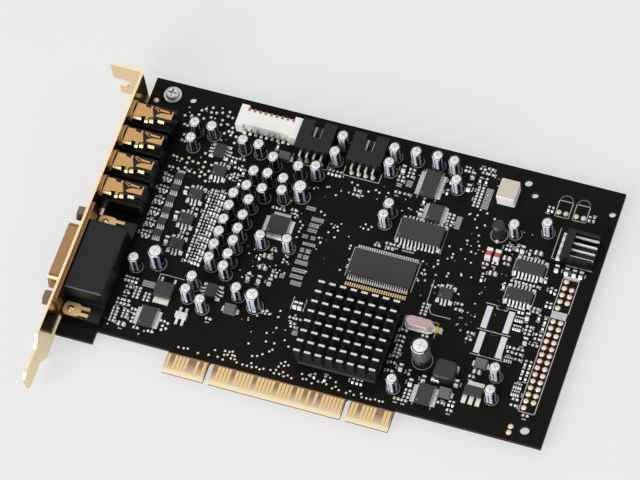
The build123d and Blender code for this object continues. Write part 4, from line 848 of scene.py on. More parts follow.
def red_ferrite(scene):
    """Lacquered chip bead."""
    # Clear lacquer over red iron oxide: red brown, half gloss.
    return plain(
        "lacquered_red_ferrite", scene.card_plastics.bead, 0.8, patch=0.6, rough=(0.35, 0.5), relief=0.2,
        depth=0.01, IOR=1.55,
    )


def grey_epoxy(scene):
    """Filled epoxy, moulded grey."""
    # Matt and slightly mottled, as the filler settles in clouds of about half a millimetre.
    return plain(
        "moulded_grey_epoxy", scene.card_plastics.diode, 0.85, patch=0.6, rough=(0.5, 0.65), relief=0.15,
        depth=0.012, IOR=1.5,
    )


def glazed_resistor(scene):
    """Glass glaze fired over a printed resistor film."""
    # Melted glass: black, glossy, gently uneven.
    return plain(
        "fired_glass_glaze", scene.card_plastics.resistor, 0.8, patch=0.5, rough=(0.2, 0.35), relief=0.3,
        depth=0.008, IOR=1.52,
    )


def fired_ceramic(scene):
    """Barium titanate, fired."""
    # Sawn from a fired block: dark brown, matt, with paler flecks of about half a millimetre.
    return plain(
        "fired_titanate_ceramic", scene.card_plastics.ceramic, 0.78, patch=0.5, rough=(0.45, 0.6),
        relief=0.2, depth=0.012, IOR=1.6,
    )


def yellow_resin(scene):
    """Moulded resin of the tantalum chip."""
    # Opaque yellow, satin, a little cloudy.
    return plain(
        "moulded_yellow_resin", scene.card_plastics.tantalum, 0.9, patch=0.6, rough=(0.4, 0.52), relief=0.2,
        depth=0.01, IOR=1.5,
    )


def thermal_sheet(scene):
    """Filled silicone sheet, cast."""
    # Soft and dusty: pale grey with no shine.
    return plain(
        "cast_silicone_sheet", scene.card_plastics.sheet, 0.9, patch=0.8, rough=(0.65, 0.8), relief=0.3,
        depth=0.02, IOR=1.42,
    )


def coated_paper(scene):
    """Coated paper of the sweep under the card."""
    # Matt and nearly even, and part of it stays pale under the card, for camera and metals alike.
    looks = scene.card_stage
    material, tree, shader, tone = surface(
        "coated_paper_sweep", mottled(looks.floor, 0.995), patch=40.0, rough=(0.75, 0.85), relief=5.0,
        depth=0.01, specular=0.1,
    )
    glow = add(tree, "ShaderNodeEmission", inputs={"Color": tone, "Strength": 1.0})
    path = add(tree, "ShaderNodeLightPath")
    seen = add(
        tree, "ShaderNodeMath", {"operation": "ADD"},
        {0: path.outputs["Is Camera Ray"], 1: path.outputs["Is Glossy Ray"]},
    )
    shown = add(
        tree, "ShaderNodeMath", {"operation": "ADD", "use_clamp": True},
        {0: seen.outputs[0], 1: path.outputs["Is Transmission Ray"]},
    )
    share = add(tree, "ShaderNodeMath", {"operation": "MULTIPLY"}, {0: shown.outputs[0], 1: looks.floor_glow})
    both = add(tree, "ShaderNodeMixShader", inputs={
        0: share.outputs[0], 1: shader.outputs[0], 2: glow.outputs[0],
    })
    tree.links.new(both.outputs[0], tree.nodes["Material Output"].inputs["Surface"])
    return material


def finish(maker):
    """The material that a maker gives, made once and shared."""
    scene = bpy.context.scene
    key = "finish:" + maker.__name__
    if key not in scene:
        scene[key] = maker(scene).name
    return bpy.data.materials[scene[key]]


def coat(maker, *nodes):
    """Give CAD nodes their finish."""
    for node in nodes:
        part = NODES[node]
        if not part.material_slots:
            raise RuntimeError(f"{node} has no material slot")
        for held in part.material_slots:
            held.material = finish(maker)


class Shape:
    """Points and faces of one piece, in board millimetres, each face with a material number."""

    def __init__(self):
        self.points = []
        self.faces = []
        self.marks = []

    def extend(self, points, faces, mark=0):
        """Add points, and faces that number them from zero."""
        start = len(self.points)
        self.points.extend(points)
        self.faces.extend([start + index for index in face] for face in faces)
        self.marks.extend([mark] * len(faces))

    def loft(self, rings, mark=0):
        """Closed skin through rings of equally many points."""
        count = len(rings[0])
        faces = [tuple(reversed(range(count)))]
        for level in range(len(rings) - 1):
            for index in range(count):
                after = (index + 1) % count
                low, high = level * count, (level + 1) * count
                faces.append((low + index, low + after, high + after, high + index))
        top = (len(rings) - 1) * count
        faces.append(tuple(range(top, top + count)))
        self.extend([point for ring in rings for point in ring], faces, mark)

    def block(self, low, high, edge=0.0, mark=0):
        """Box with its upper edges chamfered."""
        def ring(inset, z):
            return [
                (low[0] + inset, low[1] + inset, z), (high[0] - inset, low[1] + inset, z),
                (high[0] - inset, high[1] - inset, z), (low[0] + inset, high[1] - inset, z),
            ]
        rings = [ring(0, low[2]), ring(0, high[2] - edge)]
        if edge:
            rings.append(ring(edge, high[2]))
        self.loft(rings, mark)

    def turned(self, x, y, profile, count, mark=0):
        """Round solid about an upright line, from (radius, height) pairs."""
        turns = [2 * math.pi * index / count for index in range(count)]
        self.loft([[(x + r * math.cos(t), y + r * math.sin(t), z) for t in turns] for r, z in profile], mark)

    def stroke(self, run, width, low, high, mark=0):
        """Thin bar along a run of points."""
        half = width / 2
        for (x0, y0), (x1, y1) in zip(run, run[1:]):
            reach = math.hypot(x1 - x0, y1 - y0)
            ux, uy = (x1 - x0) / reach * half, (y1 - y0) / reach * half
            corners = [
                (x0 - ux + uy, y0 - uy - ux), (x1 + ux + uy, y1 + uy - ux),
                (x1 + ux - uy, y1 + uy + ux), (x0 - ux - uy, y0 - uy + ux),
            ]
            self.loft([[(x, y, z) for x, y in corners] for z in (low, high)], mark)

    def arc(self, x, y, radius, first, last, steps, width, low, high):
        """Thin bar along an arc from the first to the last angle."""
        turns = [math.radians(first + (last - first) * index / steps) for index in range(steps + 1)]
        self.stroke([(x + radius * math.cos(t), y + radius * math.sin(t)) for t in turns], width, low, high)

    def wedge(self, along, start, out, sides, height, mark=0):
        """Solder fillet: falls from height at start to the board at start plus out, along x or y."""
        def turn(a, b, z):
            return (a, b, z) if along == 0 else (b, a, z)
        points = []
        for b in sides:
            points += [turn(start, b, 0.0), turn(start + out, b, 0.0), turn(start, b, height)]
            points.append(turn(start + out * FILLET_SAG[0], b, height * FILLET_SAG[1]))
        faces = [(0, 1, 3, 2), (4, 6, 7, 5), (0, 4, 5, 1), (1, 5, 7, 3), (3, 7, 6, 2), (2, 6, 4, 0)]
        self.extend(points, faces, mark)

    def arch(self, x0, x1, y, z, inner, outer, steps=14):
        """Half ring over a line along x."""
        rings = []
        for index in range(steps + 1):
            turn = math.pi * index / steps
            across, up = math.cos(turn), math.sin(turn)
            corners = ((x0, inner), (x1, inner), (x1, outer), (x0, outer))
            rings.append([(x, y + r * across, z + r * up) for x, r in corners])
        self.loft(rings)


def make(shape, name, makers, stands_for=(), smooth=None):
    """Turn a shape into a piece that rides on the card."""
    if not shape.faces:
        raise RuntimeError(f"{name} has no faces")
    mesh = bpy.data.meshes.new(name)
    mesh.from_pydata([place(*point) for point in shape.points], [], shape.faces)
    for maker in makers:
        mesh.materials.append(finish(maker))
    mesh.polygons.foreach_set("material_index", shape.marks)
    work = bmesh.new()
    work.from_mesh(mesh)
    bmesh.ops.recalc_face_normals(work, faces=work.faces)
    work.to_mesh(mesh)
    work.free()
    if smooth:
        mesh.shade_smooth()
        mesh.set_sharp_from_angle(angle=math.radians(smooth))
    piece = bpy.data.objects.new(name, mesh)
    bpy.context.scene.collection.objects.link(piece)
    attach(piece, "root")
    if stands_for:
        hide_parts(*stands_for)


def solids_of(node):
    """Lowest and highest corner of each separate solid of a CAD node, in board millimetres."""
    work = bmesh.new()
    work.from_mesh(NODES[node].data)
    bmesh.ops.remove_doubles(work, verts=work.verts, dist=SAME_POINT)
    seen = set()
    boxes = []
    for first in work.verts:
        if first in seen:
            continue
        seen.add(first)
        group, waiting = [], [first]
        while waiting:
            point = waiting.pop()
            group.append((point.co - DECK) / MM)
            for edge in point.link_edges:
                other = edge.other_vert(point)
                if other not in seen:
                    seen.add(other)
                    waiting.append(other)
        corners = [[pick(p[axis] for p in group) for axis in range(3)] for pick in (min, max)]
        boxes.append(tuple(Vector(corner) for corner in corners))
    work.free()
    return boxes


class CARD_OT_board(bpy.types.Operator):
    """Lacquer the board, and add its printed outlines, lands and plated holes"""

    bl_idname = "card.board"
    bl_label = "Board"

    def execute(self, context):
        looks = context.scene.card_board
        taken = [box for node in STANDING_NODES for box in solids_of(node)]
        coat(solder_mask, "circuit_board")
        self.add_print(looks, taken)
        self.add_lands()
        self.add_holes(looks, taken)
        return {"FINISHED"}

    def add_print(self, looks, taken):
        """Printed outlines around parts, solid bands and fields of small marks."""
        printed, width, low, high = Shape(), looks.print_width / MM, 0.0, INK_HEIGHT
        for run in PRINT_RUNS:
            printed.stroke(run, width, low, high)
        for x, y, radius, first, last in PRINT_ARCS:
            printed.arc(x, y, radius, first, last, ARC_STEPS, width, low, high)
        for a, b in solids_of("capacitor_sleeves"):
            middle = (a + b) / 2
            printed.arc(middle.x, middle.y, (b.x - a.x) / 2 + RING_GAP, 0, 360, RING_STEPS, width, low, high)
        for node in FRAMED_NODES:
            for a, b in solids_of(node):
                left, right, lower, upper = a.x - FRAME_GAP, b.x + FRAME_GAP, a.y - FRAME_GAP, b.y + FRAME_GAP
                run = [(left, lower), (left, upper), (right, upper), (right, lower)]
                printed.stroke(run, width, low, high)
        for left, lower, right, upper in PRINT_BANDS:
            printed.block((left, lower, low), (right, upper, high))
        for field in PRINT_FIELDS + self.free_fields(looks, taken):
            self.add_marks(printed, *field)
        make(printed, "printed_outlines", [printing_ink])

    def add_marks(self, printed, left, lower, right, upper):
        """A grid of small plain marks over a field."""
        columns, rows = round((right - left) / MARK_WIDTH), round((upper - lower) / MARK_HEIGHT)
        wide, tall = (right - left) / columns, (upper - lower) / rows
        for column in range(columns):
            for row in range(rows):
                x, y = left + column * wide, lower + row * tall
                printed.block((x, y, 0.0), (x + wide * MARK_SHARE, y + tall * MARK_SHARE, INK_HEIGHT))

    def free_fields(self, looks, taken):
        """Small fields beside some of the chip parts, where the board is free."""
        chance = random.Random(looks.seed)
        fields = []
        for node in FIELD_NODES:
            for a, b in solids_of(node):
                lies, side = chance.random() < 0.5, chance.choice((-1, 1))
                half = FIELD_HALF if lies else FIELD_HALF[::-1]
                x, y = (a.x + b.x) / 2, (a.y + b.y) / 2
                if lies:
                    y += side * ((b.y - a.y) / 2 + half[1] + FIELD_GAP)
                else:
                    x += side * ((b.x - a.x) / 2 + half[0] + FIELD_GAP)
                field = (x - half[0], y - half[1], x + half[0], y + half[1])
                others = fields + [(low.x, low.y, high.x, high.y) for low, high in taken]
                if not any(
                    field[0] < right and left < field[2] and field[1] < upper and lower < field[3]
                    for left, lower, right, upper in others
                ):
                    fields.append(field)
        return fields

    def add_lands(self):
        """Domed solder on both faces of the bare pads, long tinned lands and the gold comb."""
        domes, rims = Shape(), Shape()
        spots = list(LAMP_PADS) + list(LOOSE_PADS)
        for column, top, count in PIN_FIELD_RUNS:
            spots += [(column, top - PIN_FIELD_PITCH * index) for index in range(count)]
        for x, y in spots:
            for dome, rim in ((PAD_PROFILE, RIM_PROFILE), (under(PAD_PROFILE), under(RIM_PROFILE))):
                domes.turned(x, y, dome, count=16)
                rims.turned(x, y, rim, count=20)
        make(domes, "solder_domes", [flooded_land], smooth=50)
        make(rims, "land_rims", [flashed_copper])
        lands = Shape()
        half = LONG_LAND_WIDTH / 2
        for x, lower, upper in LONG_LANDS:
            lands.block((x - half, lower, 0.0), (x + half, upper, LONG_LAND_HEIGHT), edge=0.1)
        make(lands, "long_lands", [tin])
        comb = Shape()
        left, right, lower, upper = GOLD_COMB
        pitch = (right - left) / GOLD_COMB_COUNT
        finger = pitch * GOLD_COMB_SHARE
        for index in range(GOLD_COMB_COUNT):
            x = left + pitch * index
            comb.block((x, lower, 0.0), (x + finger, upper, GOLD_COMB_HEIGHT), edge=0.01)
        make(comb, "gold_comb", [contact_gold])

    def add_holes(self, looks, taken):
        """Plated holes: those read one by one, and fields of small ones between the parts."""
        chance = random.Random(looks.seed)
        wide, narrow = looks.wide_hole / MM, looks.plated_hole / MM
        spots = [(x, y, wide, 0) for x, y in WIDE_HOLES] + [(x, y, narrow, 0) for x, y in PLATED_HOLES]
        for left, lower, right, upper, count in HOLE_FIELDS:
            for _ in range(count):
                x, y = chance.uniform(left, right), chance.uniform(lower, upper)
                size = narrow * chance.uniform(*SMALL_HOLES)
                spots.append((x, y, size, 1 if chance.random() < COPPER_HOLE_SHARE else 0))
        holes, backs, gap = Shape(), Shape(), HOLE_GAP
        for x, y, size, mark in spots:
            profile = [(size * share, rise) for share, rise in HOLE_PROFILE]
            if not any(a.x - gap < x < b.x + gap and a.y - gap < y < b.y + gap for a, b in taken):
                holes.turned(x, y, profile, HOLE_FACETS, mark)
            backs.turned(x, y, under(profile), HOLE_FACETS, mark)
        for shape, name in ((holes, "plated_holes"), (backs, "plated_hole_backs")):
            make(shape, name, [flooded_land, flashed_copper], smooth=50)


class CARD_OT_edge(bpy.types.Operator):
    """Plate the edge contacts"""

    bl_idname = "card.edge"
    bl_label = "Edge contacts"

    def execute(self, context):
        coat(contact_gold, "edge_contacts")
        return {"FINISHED"}


class CARD_OT_bracket(bpy.types.Operator):
    """Plate the bracket and its screw"""

    bl_idname = "card.bracket"
    bl_label = "Bracket"

    def execute(self, context):
        coat(bracket_gold, "bracket")
        coat(zinc, "bracket_screw")
        return {"FINISHED"}


class CARD_OT_jacks(bpy.types.Operator):
    """Finish the audio jacks, make their cut and bent springs, and add the collar of each"""

    bl_idname = "card.jacks"
    bl_label = "Audio jacks"

    def execute(self, context):
        collars, springs = Shape(), Shape()
        for jack in JACKS:
            coat(black_nylon, jack + "_housing")
            coat(spring_gold, jack + "_ferrule", jack + "_contacts")
            low, high = solids_of(jack + "_housing")[0]
            row = (low.y + high.y) / 2
            collars.arch(low.x, low.x + COLLAR_REACH, row, COLLAR_LEVEL, *COLLAR_RADII)
            self.add_springs(springs, row)
        # The collars take the paler gold as painted light, as they sit in shade behind the bracket
        make(collars, "jack_collars", [contact_gold], smooth=40)
        contacts = [jack + "_contacts" for jack in JACKS]
        make(springs, "jack_springs", [spring_gold, contact_gold], contacts)
        return {"FINISHED"}

    def add_springs(self, springs, row):
        """One jack's springs: plates cut from strip, legs down the ridge, and lips bent over its front."""
        low, high = SPRING_LEVELS
        for outline in SPRING_PLATES:
            springs.loft([[(x, row + y, z) for x, y in outline] for z in (low, high)])
        front, back = [row + face for face in LEG_FACES]
        foot, head = [high - drop for drop in LEG_DROPS]
        for start, stop in SPRING_LEGS:
            springs.block((start, front, foot), (stop, back, head))
        for start, stop, bend, root in SPRING_LIPS:
            tip = bend - LIP_OUT
            falls = [(tip, high - fall) for fall in LIP_FALLS]
            section = [(root, high), (bend, high), *falls, (bend, low), (root, low)]
            # The lips take the paler gold: a painted highlight along the springs' front folds
            springs.loft([[(x, row + y, z) for y, z in section] for x in (start, stop)], mark=1)


class CARD_OT_connector(bpy.types.Operator):
    """Finish the D connector, and add the rivets of its board locks"""

    bl_idname = "card.connector"
    bl_label = "D connector"

    def execute(self, context):
        coat(black_nylon, "connector_housing", "connector_insulator")
        coat(shell_zinc, "connector_shell")
        coat(contact_gold, "connector_contacts", "board_locks")
        coat(jackscrew_nickel, "connector_jackscrews")
        rivets = Shape()
        for low, high in solids_of("board_locks"):
            dome = [(radius, high.z - RIVET_SINK + rise) for radius, rise in RIVET_DOME]
            rivets.turned(low.x + RIVET_PLACE, (low.y + high.y) / 2, dome, count=24)
        make(rivets, "board_lock_rivets", [bracket_gold], smooth=50)
        return {"FINISHED"}


class CARD_OT_headers(bpy.types.Operator):
    """Finish the headers and their pins, and solder the pins' feet"""

    bl_idname = "card.headers"
    bl_label = "Headers"

    def execute(self, context):
        coat(white_nylon, "wire_header_housing")
        coat(black_nylon, "audio_header_1_housing", "audio_header_2_housing", "digital_header_housing")
        coat(flooded_land, "wire_header_pins", "audio_header_pins")
        coat(solder, "digital_header_pins")
        feet, tips = Shape(), Shape()
        low, high = solids_of("wire_header_housing")[0]
        roof_back = low.y + WIRE_ROOF
        tip_half, tip_front, tip_back, tip_depth, tip_rise = WIRE_TIP
        half, front, back, height, edge = WIRE_FOOT
        for a, b in solids_of("wire_header_pins"):
            middle = (a + b) / 2
            feet.block((middle.x - half, a.y - front, 0.0), (middle.x + half, a.y + back, height), edge)
            tips.block(
                (middle.x - tip_half, roof_back - tip_front, high.z - tip_depth),
                (middle.x + tip_half, roof_back + tip_back, high.z + tip_rise), edge=tip_rise,
            )
        for a, b in solids_of("audio_header_pins"):
            middle = (a + b) / 2
            feet.turned(middle.x, a.y + AUDIO_PIN_HALF, PIN_JOINT, count=14)
        half, front, back, height, edge = DIGITAL_FOOT
        for a, b in solids_of("digital_header_pins"):
            middle = (a + b) / 2
            feet.block((a.x - front, middle.y - half, 0.0), (a.x + back, middle.y + half, height), edge)
        make(feet, "header_solder", [flooded_land], smooth=40)
        make(tips, "wire_header_tips", [pin_bronze])
        return {"FINISHED"}


class CARD_OT_sink(bpy.types.Operator):
    """Finish the processor, its thermal sheet and the heat sink"""

    bl_idname = "card.sink"
    bl_label = "Heat sink"

    def execute(self, context):
        coat(anodised_sink, "heat_sink")
        coat(thermal_sheet, "thermal_pad")
        coat(chip_epoxy, "audio_processor")
        return {"FINISHED"}


class CARD_OT_chips(bpy.types.Operator):
    """Finish the moulded chips, and add soldered lands at their feet and a mark at the first lead"""

    bl_idname = "card.chips"
    bl_label = "Chips"

    def execute(self, context):
        joints, marks = Shape(), Shape()
        for body, leads in CHIP_LEADS.items():
            coat(chip_epoxy, body)
            coat(flooded_land if body == "codec_chip" else solder, leads)
            bodies = solids_of(body)
            for low, high in solids_of(leads):
                self.solder_foot(joints, low, high, bodies)
            for low, high in bodies:
                if high.x - low.x > MARKED_CHIP:
                    disc = [(radius, high.z + rise) for radius, rise in LEAD_MARK]
                    marks.turned(low.x + LEAD_MARK_INSET, low.y + LEAD_MARK_INSET, disc, count=20)
        make(joints, "chip_solder", [solder])
        make(marks, "first_lead_marks", [grey_epoxy])
        return {"FINISHED"}

    def solder_foot(self, joints, low, high, bodies):
        """Fillet at the outer end of one lead."""
        middle = (low + high) / 2

        def away(box):
            return max(box[0].x - middle.x, middle.x - box[1].x, box[0].y - middle.y, middle.y - box[1].y)

        first, last = min(bodies, key=away)
        gaps = [min(abs(middle[axis] - first[axis]), abs(middle[axis] - last[axis])) for axis in (0, 1)]
        along = 0 if gaps[0] < gaps[1] else 1
        across = 1 - along
        outwards = 1 if middle[along] > (first[along] + last[along]) / 2 else -1
        tip = high[along] if outwards > 0 else low[along]
        broad = high[across] - low[across] > BROAD_LEAD
        reach, widen = BROAD_FOOT if broad else FINE_FOOT
        joints.wedge(along, tip, outwards * reach, (low[across] - widen, high[across] + widen), FOOT_HEIGHT)
        if not broad:
            start, stop = Vector(low), Vector(high)
            start[across] -= widen
            stop[across] += widen
            start.z, stop.z = 0.0, FINE_PAD_HEIGHT
            joints.block(start, stop)


class CARD_OT_regulators(bpy.types.Operator):
    """Finish the two regulators"""

    bl_idname = "card.regulators"
    bl_label = "Regulators"

    def execute(self, context):
        coat(chip_epoxy, "regulators")
        coat(flooded_land, "regulator_tabs")
        return {"FINISHED"}


# Films of the sleeves, in the order of the material numbers that the painted highlight bands use
SLEEVE_FILMS = [shrunk_film, film_stripe, faint_film_stripe, silver_film]


class CARD_OT_capacitors(bpy.types.Operator):
    """Make the can capacitors: shrunk sleeves with painted highlight bands, rolled over bare scored tops"""

    bl_idname = "card.capacitors"
    bl_label = "Can capacitors"

    def execute(self, context):
        coat(shrunk_film, "capacitor_sleeves")
        coat(aluminium, "capacitor_cans")
        chance = random.Random(context.scene.card_board.seed)
        sleeves, cans = Shape(), Shape()
        for low, high in solids_of("capacitor_sleeves"):
            # Each sleeve's painted highlight bands shift by a facet or two
            shift = chance.randint(-1, 2)
            swing = chance.uniform(0, math.pi / 2)
            self.add_sleeve(sleeves, low, high, shift)
            self.add_can(cans, low, high, swing)
        make(sleeves, "capacitor_films", SLEEVE_FILMS, ("capacitor_sleeves",), 40)
        make(cans, "capacitor_tops", [aluminium, scored_aluminium], ("capacitor_cans",), 40)
        return {"FINISHED"}

    def add_sleeve(self, sleeves, low, high, shift):
        """One shrunk sleeve with its crimp, its painted highlight bands and its rolled edge."""
        middle, radius, top = (low + high) / 2, (high.x - low.x) / 2, high.z + SLEEVE_RISE
        silver = radius > SILVER_RADIUS and middle.x > SILVER_LEFT
        outline = [(share, low.z + rise) for share, rise in SLEEVE_FOOT]
        if silver:
            starts = [low.z + GROOVE_START + GROOVE_STEP * ring for ring in range(GROOVE_COUNT)]
            outline += [(share, start + rise) for start in starts for share, rise in GROOVE]
        shoulder = len(outline)
        outline += [(share, top - depth) for share, depth in SLEEVE_SHOULDER]
        first = len(sleeves.faces) + 1
        sleeves.turned(middle.x, middle.y, [(radius * share, z) for share, z in outline], SLEEVE_FACETS)
        faint_bank = middle.x < FAINT_HIGHLIGHT_BANK[0] and middle.y > FAINT_HIGHLIGHT_BANK[1]
        highlight_runs = enumerate(FAINT_HIGHLIGHT_BANDS if faint_bank else BANDS, 1)
        bands = {turn + shift: mark for mark, turns in highlight_runs for turn in turns}
        # Painted highlights: pale bands on the facets that face the front left softbox, and a pale part of
        # the shoulder
        for row in range(FIRST_HIGHLIGHT_ROW, shoulder + SHOULDER_HIGHLIGHT_ROWS):
            for turn in range(SLEEVE_FACETS):
                if row >= shoulder:
                    mark = int(turn in SHOULDER_HIGHLIGHT)
                elif silver:
                    # The wall is silver, and so is the upper slope of the crimp and of each groove
                    bright = row == shoulder - 1 or row % len(GROOVE) == 1
                    mark = SLEEVE_FILMS.index(silver_film if bright else shrunk_film)
                else:
                    mark = bands.get(turn, 0)
                sleeves.marks[first + row * SLEEVE_FACETS + turn] = mark

    def add_can(self, cans, low, high, swing):
        """The can inside a sleeve, with a cross pressed into its top."""
        middle, radius, top = (low + high) / 2, (high.x - low.x) / 2, high.z + SLEEVE_RISE
        wall, lid = [radius * share for share in CAN_SHARES]
        profile = [(wall, low.z + CAN_FOOT), (wall, top - CAN_DEPTHS[0]), (lid, top - CAN_DEPTHS[1])]
        cans.turned(middle.x, middle.y, profile, SLEEVE_FACETS)
        reach = radius * SCORE_REACH
        for turn in (swing, swing + math.pi / 2):
            x, y = reach * math.cos(turn), reach * math.sin(turn)
            run = [(middle.x - x, middle.y - y), (middle.x + x, middle.y + y)]
            cans.stroke(run, SCORE_WIDTH, top - SCORE_DEPTHS[0], top - SCORE_DEPTHS[1], mark=1)


class CARD_OT_small_parts(bpy.types.Operator):
    """Make the chip resistors, capacitors, arrays and beads with their metal ends and solder"""

    bl_idname = "card.small_parts"
    bl_label = "Small parts"

    def execute(self, context):
        kinds = [
            ("chip_resistors", "resistor_chips", glazed_resistor, "resistor_ceramic", 0.28),
            ("chip_capacitors", "capacitor_chips", fired_ceramic, "capacitor_ceramic", 0.29),
            ("ferrite_beads", "bead_chips", red_ferrite, "red_ferrite", 0.3),
            ("tantalum_capacitor", "tantalum_chip", yellow_resin, "tantalum_resin", 0.12),
        ]
        middles = [(low + high) / 2 for kind in kinds for low, high in solids_of(kind[0])]
        for node, name, maker, slot, end_share in kinds:
            coat(maker, node)
            chips = Shape()
            for low, high in solids_of(node):
                middle = (low + high) / 2
                crowded = sum((other - middle).length < CROWD_REACH for other in middles) > CROWD_COUNT
                self.chip(chips, low, high, end_share, crowded)
            make(chips, name, [maker, solder], (node,))
        coat(glazed_resistor, "resistor_arrays")
        arrays = Shape()
        for low, high in solids_of("resistor_arrays"):
            self.array(arrays, low, high)
        makers = [glazed_resistor, solder]
        make(arrays, "resistor_array_chips", makers, ("resistor_arrays",))
        return {"FINISHED"}

    def chip(self, chips, low, high, end_share, crowded):
        """One chip along its longer side: body, wrapped ends, and fillets with less solder in a crowd."""
        along = 0 if high.x - low.x > high.y - low.y else 1
        across = 1 - along
        fillet, slim, share = CROWDED_END if crowded else FREE_END
        low, high = Vector(low), Vector(high)
        low[across] += slim
        high[across] -= slim
        end = (high[along] - low[along]) * end_share * share
        start, stop = Vector(low), Vector(high)
        start[along] += end - END_WRAP
        stop[along] -= end - END_WRAP
        start[across] += END_WRAP
        stop[across] -= END_WRAP
        stop.z -= END_WRAP
        chips.block(start, stop, BODY_EDGE)
        for first, last in ((low[along], low[along] + end), (high[along] - end, high[along])):
            a, b = Vector(low), Vector(high)
            a[along], b[along] = first, last
            chips.block(a, b, END_EDGE, mark=1)
        sides = (low[across] + END_WRAP, high[across] - END_WRAP)
        rise = (high.z - low.z) * FILLET_RISE
        chips.wedge(along, low[along], -fillet, sides, rise, mark=1)
        chips.wedge(along, high[along], fillet, sides, rise, mark=1)

    def array(self, arrays, low, high):
        """One resistor array: body and four rounded ends on each long side."""
        inset, ends, gap, depth, fillet, height = ARRAY_ENDS
        arrays.block((low.x, low.y + inset, low.z), (high.x, high.y - inset, high.z), BODY_EDGE)
        pitch = (high.x - low.x) / ends
        for index in range(ends):
            left, right = low.x + pitch * (index + gap), low.x + pitch * (index + 1 - gap)
            for lower, upper, out in ((low.y, low.y + depth, -fillet), (high.y - depth, high.y, fillet)):
                arrays.block((left, lower, low.z), (right, upper, high.z + END_WRAP), END_EDGE, mark=1)
                arrays.wedge(1, lower if out < 0 else upper, out, (left, right), height, mark=1)


class CARD_OT_single_parts(bpy.types.Operator):
    """Finish the crystal, coils, film capacitor, diodes and line filter, and add their terminals"""

    bl_idname = "card.single_parts"
    bl_label = "Single parts"

    def execute(self, context):
        coat(crystal_can, "crystal")
        coat(cream_box, "film_capacitor")
        coat(ferrite, "power_inductor", "drum_inductor")
        coat(grey_epoxy, "diodes")
        coat(tin, "line_filter")
        terminals = Shape()
        inset, reach, overlap, height, edge = DIODE_ENDS
        for low, high in solids_of("diodes"):
            y0, y1 = low.y + inset, high.y - inset
            terminals.block((low.x - reach, y0, 0.0), (low.x + overlap, y1, height), edge)
            terminals.block((high.x - overlap, y0, 0.0), (high.x + reach, y1, height), edge)
        # The power coil's terminals show at its lower left and its upper right corner
        low, high = solids_of("power_inductor")[0]
        terminals.block((low.x - 0.2, low.y - 0.3, 0.0), (low.x + 2.6, low.y + 0.9, 1.6), edge=0.2)
        terminals.block((high.x - 1.0, high.y - 2.4, 0.0), (high.x + 0.25, high.y - 0.4, 2.2), edge=0.2)
        low, high = solids_of("drum_inductor")[0]
        middle = (low + high) / 2
        terminals.turned(middle.x, low.y - DRUM_JOINT_GAP, DRUM_JOINT, count=16)
        make(terminals, "part_terminals", [flooded_land], smooth=40)
        return {"FINISHED"}


class CARD_OT_solder_side(bpy.types.Operator):
    """Finish the trimmed leads under the board and add a solder cone to each"""

    bl_idname = "card.solder_side"
    bl_label = "Solder side"

    def execute(self, context):
        coat(solder, "solder_tails")
        cones = Shape()
        for low, high in solids_of("solder_tails"):
            middle, radius = (low + high) / 2, (high.x - low.x) / 2
            slope = under([(radius + widen, rise) for widen, rise in CONE_PROFILE])
            cones.turned(middle.x, middle.y, slope, count=14)
        make(cones, "solder_cones", [solder], smooth=60)
        return {"FINISHED"}


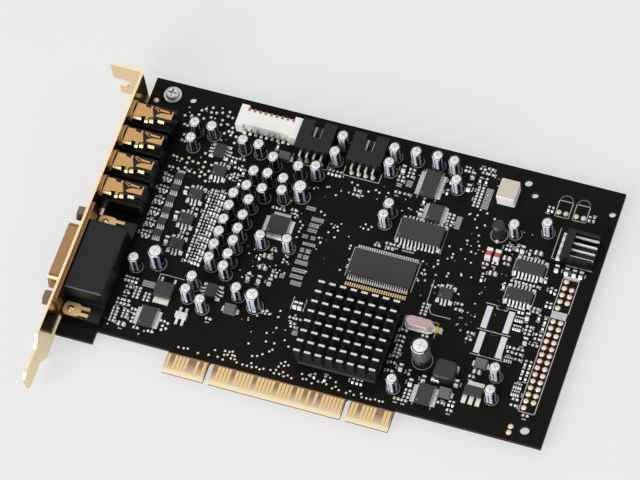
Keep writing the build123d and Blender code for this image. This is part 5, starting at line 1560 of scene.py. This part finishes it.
class CARD_OT_stage(bpy.types.Operator):
    """Lay the pale floor, hang the softboxes and set the camera"""

    bl_idname = "card.stage"
    bl_label = "Stage"

    def execute(self, context):
        looks, scene = context.scene.card_stage, context.scene
        scene.view_settings.view_transform = "Standard"
        self.add_floor(scene)
        aim = place(*LAMP_AIM)
        for name, (spot, size) in SOFTBOXES.items():
            lamp = bpy.data.lights.new(name + "_softbox", "AREA")
            lamp.energy, lamp.size = getattr(looks, name + "_watts"), size
            holder = bpy.data.objects.new(name + "_softbox", lamp)
            holder.location = aim + Vector(spot)
            holder.rotation_euler = (aim - holder.location).to_track_quat("-Z", "Y").to_euler()
            scene.collection.objects.link(holder)
        self.add_room(looks, scene)
        self.add_camera(looks, scene)
        return {"FINISHED"}

    def add_floor(self, scene):
        """Wide pale sweep at the level of the bracket's lower edge."""
        reach, level = FLOOR_REACH, CAD_BOX[0][2]
        corners = [(x * reach, y * reach, level) for x, y in ((-1, -1), (1, -1), (1, 1), (-1, 1))]
        mesh = bpy.data.meshes.new("floor")
        mesh.from_pydata(corners, [], [(0, 1, 2, 3)])
        mesh.materials.append(coated_paper(scene))
        floor = bpy.data.objects.new("floor", mesh)
        scene.collection.objects.link(floor)

    def add_room(self, looks, scene):
        """Soft light from pale walls under a dimmer ceiling."""
        world = bpy.data.worlds.new("studio")
        world.use_nodes = True
        scene.world = world
        tree = world.node_tree
        tree.nodes.clear()
        spot = add(tree, "ShaderNodeTexCoord")
        axes = add(tree, "ShaderNodeSeparateXYZ", inputs={0: spot.outputs["Generated"]})
        fall = add(tree, "ShaderNodeMapRange", inputs={
            "Value": axes.outputs["Z"], "From Min": 0.0, "From Max": CEILING_START, "To Min": looks.walls,
            "To Max": looks.ceiling,
        })
        room = add(tree, "ShaderNodeBackground", inputs={
            "Color": (1.0, 1.0, 1.0, 1.0), "Strength": fall.outputs[0],
        })
        add(tree, "ShaderNodeOutputWorld", inputs={"Surface": room.outputs[0]})

    def add_camera(self, looks, scene):
        """Camera at the photograph's viewing angle."""
        data = bpy.data.cameras.new("camera")
        data.sensor_fit, data.sensor_width = "HORIZONTAL", SENSOR_WIDTH
        data.lens, data.clip_end = looks.lens, CLIP_END
        camera = bpy.data.objects.new("camera", data)
        camera.location = place(*CAMERA_SPOT)
        sight = place(*CAMERA_AIM) - camera.location
        camera.rotation_mode = "QUATERNION"
        camera.rotation_quaternion = sight.to_track_quat("-Z", "Y") @ Quaternion((0, 0, 1), looks.roll)
        scene.collection.objects.link(camera)
        scene.camera = camera


STEPS = (
    CARD_OT_board, CARD_OT_edge, CARD_OT_bracket, CARD_OT_jacks, CARD_OT_connector, CARD_OT_headers,
    CARD_OT_sink, CARD_OT_chips, CARD_OT_regulators, CARD_OT_capacitors, CARD_OT_small_parts,
    CARD_OT_single_parts, CARD_OT_solder_side, CARD_OT_stage,
)


class CARD_PT_looks(bpy.types.Panel):
    """Lists the card's steps in the sidebar"""

    bl_label = "Sound card"
    bl_idname = "CARD_PT_looks"
    bl_space_type = "VIEW_3D"
    bl_region_type = "UI"
    bl_category = "Card"

    def draw(self, context):
        for step in STEPS:
            self.layout.operator(step.bl_idname)


GROUPS = {
    "card_board": BoardLooks,
    "card_metals": MetalLooks,
    "card_plastics": PlasticLooks,
    "card_stage": StageLooks,
}
CLASSES = (*GROUPS.values(), *STEPS, CARD_PT_looks)


def register():
    for entry in CLASSES:
        bpy.utils.register_class(entry)
    for name, group in GROUPS.items():
        setattr(bpy.types.Scene, name, PointerProperty(type=group))


def unregister():
    for name in GROUPS:
        delattr(bpy.types.Scene, name)
    for entry in reversed(CLASSES):
        bpy.utils.unregister_class(entry)


def main():
    """Register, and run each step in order."""
    register()
    for step in STEPS:
        group, name = step.bl_idname.split(".")
        getattr(getattr(bpy.ops, group), name)()


if __name__ == "__main__":
    main()
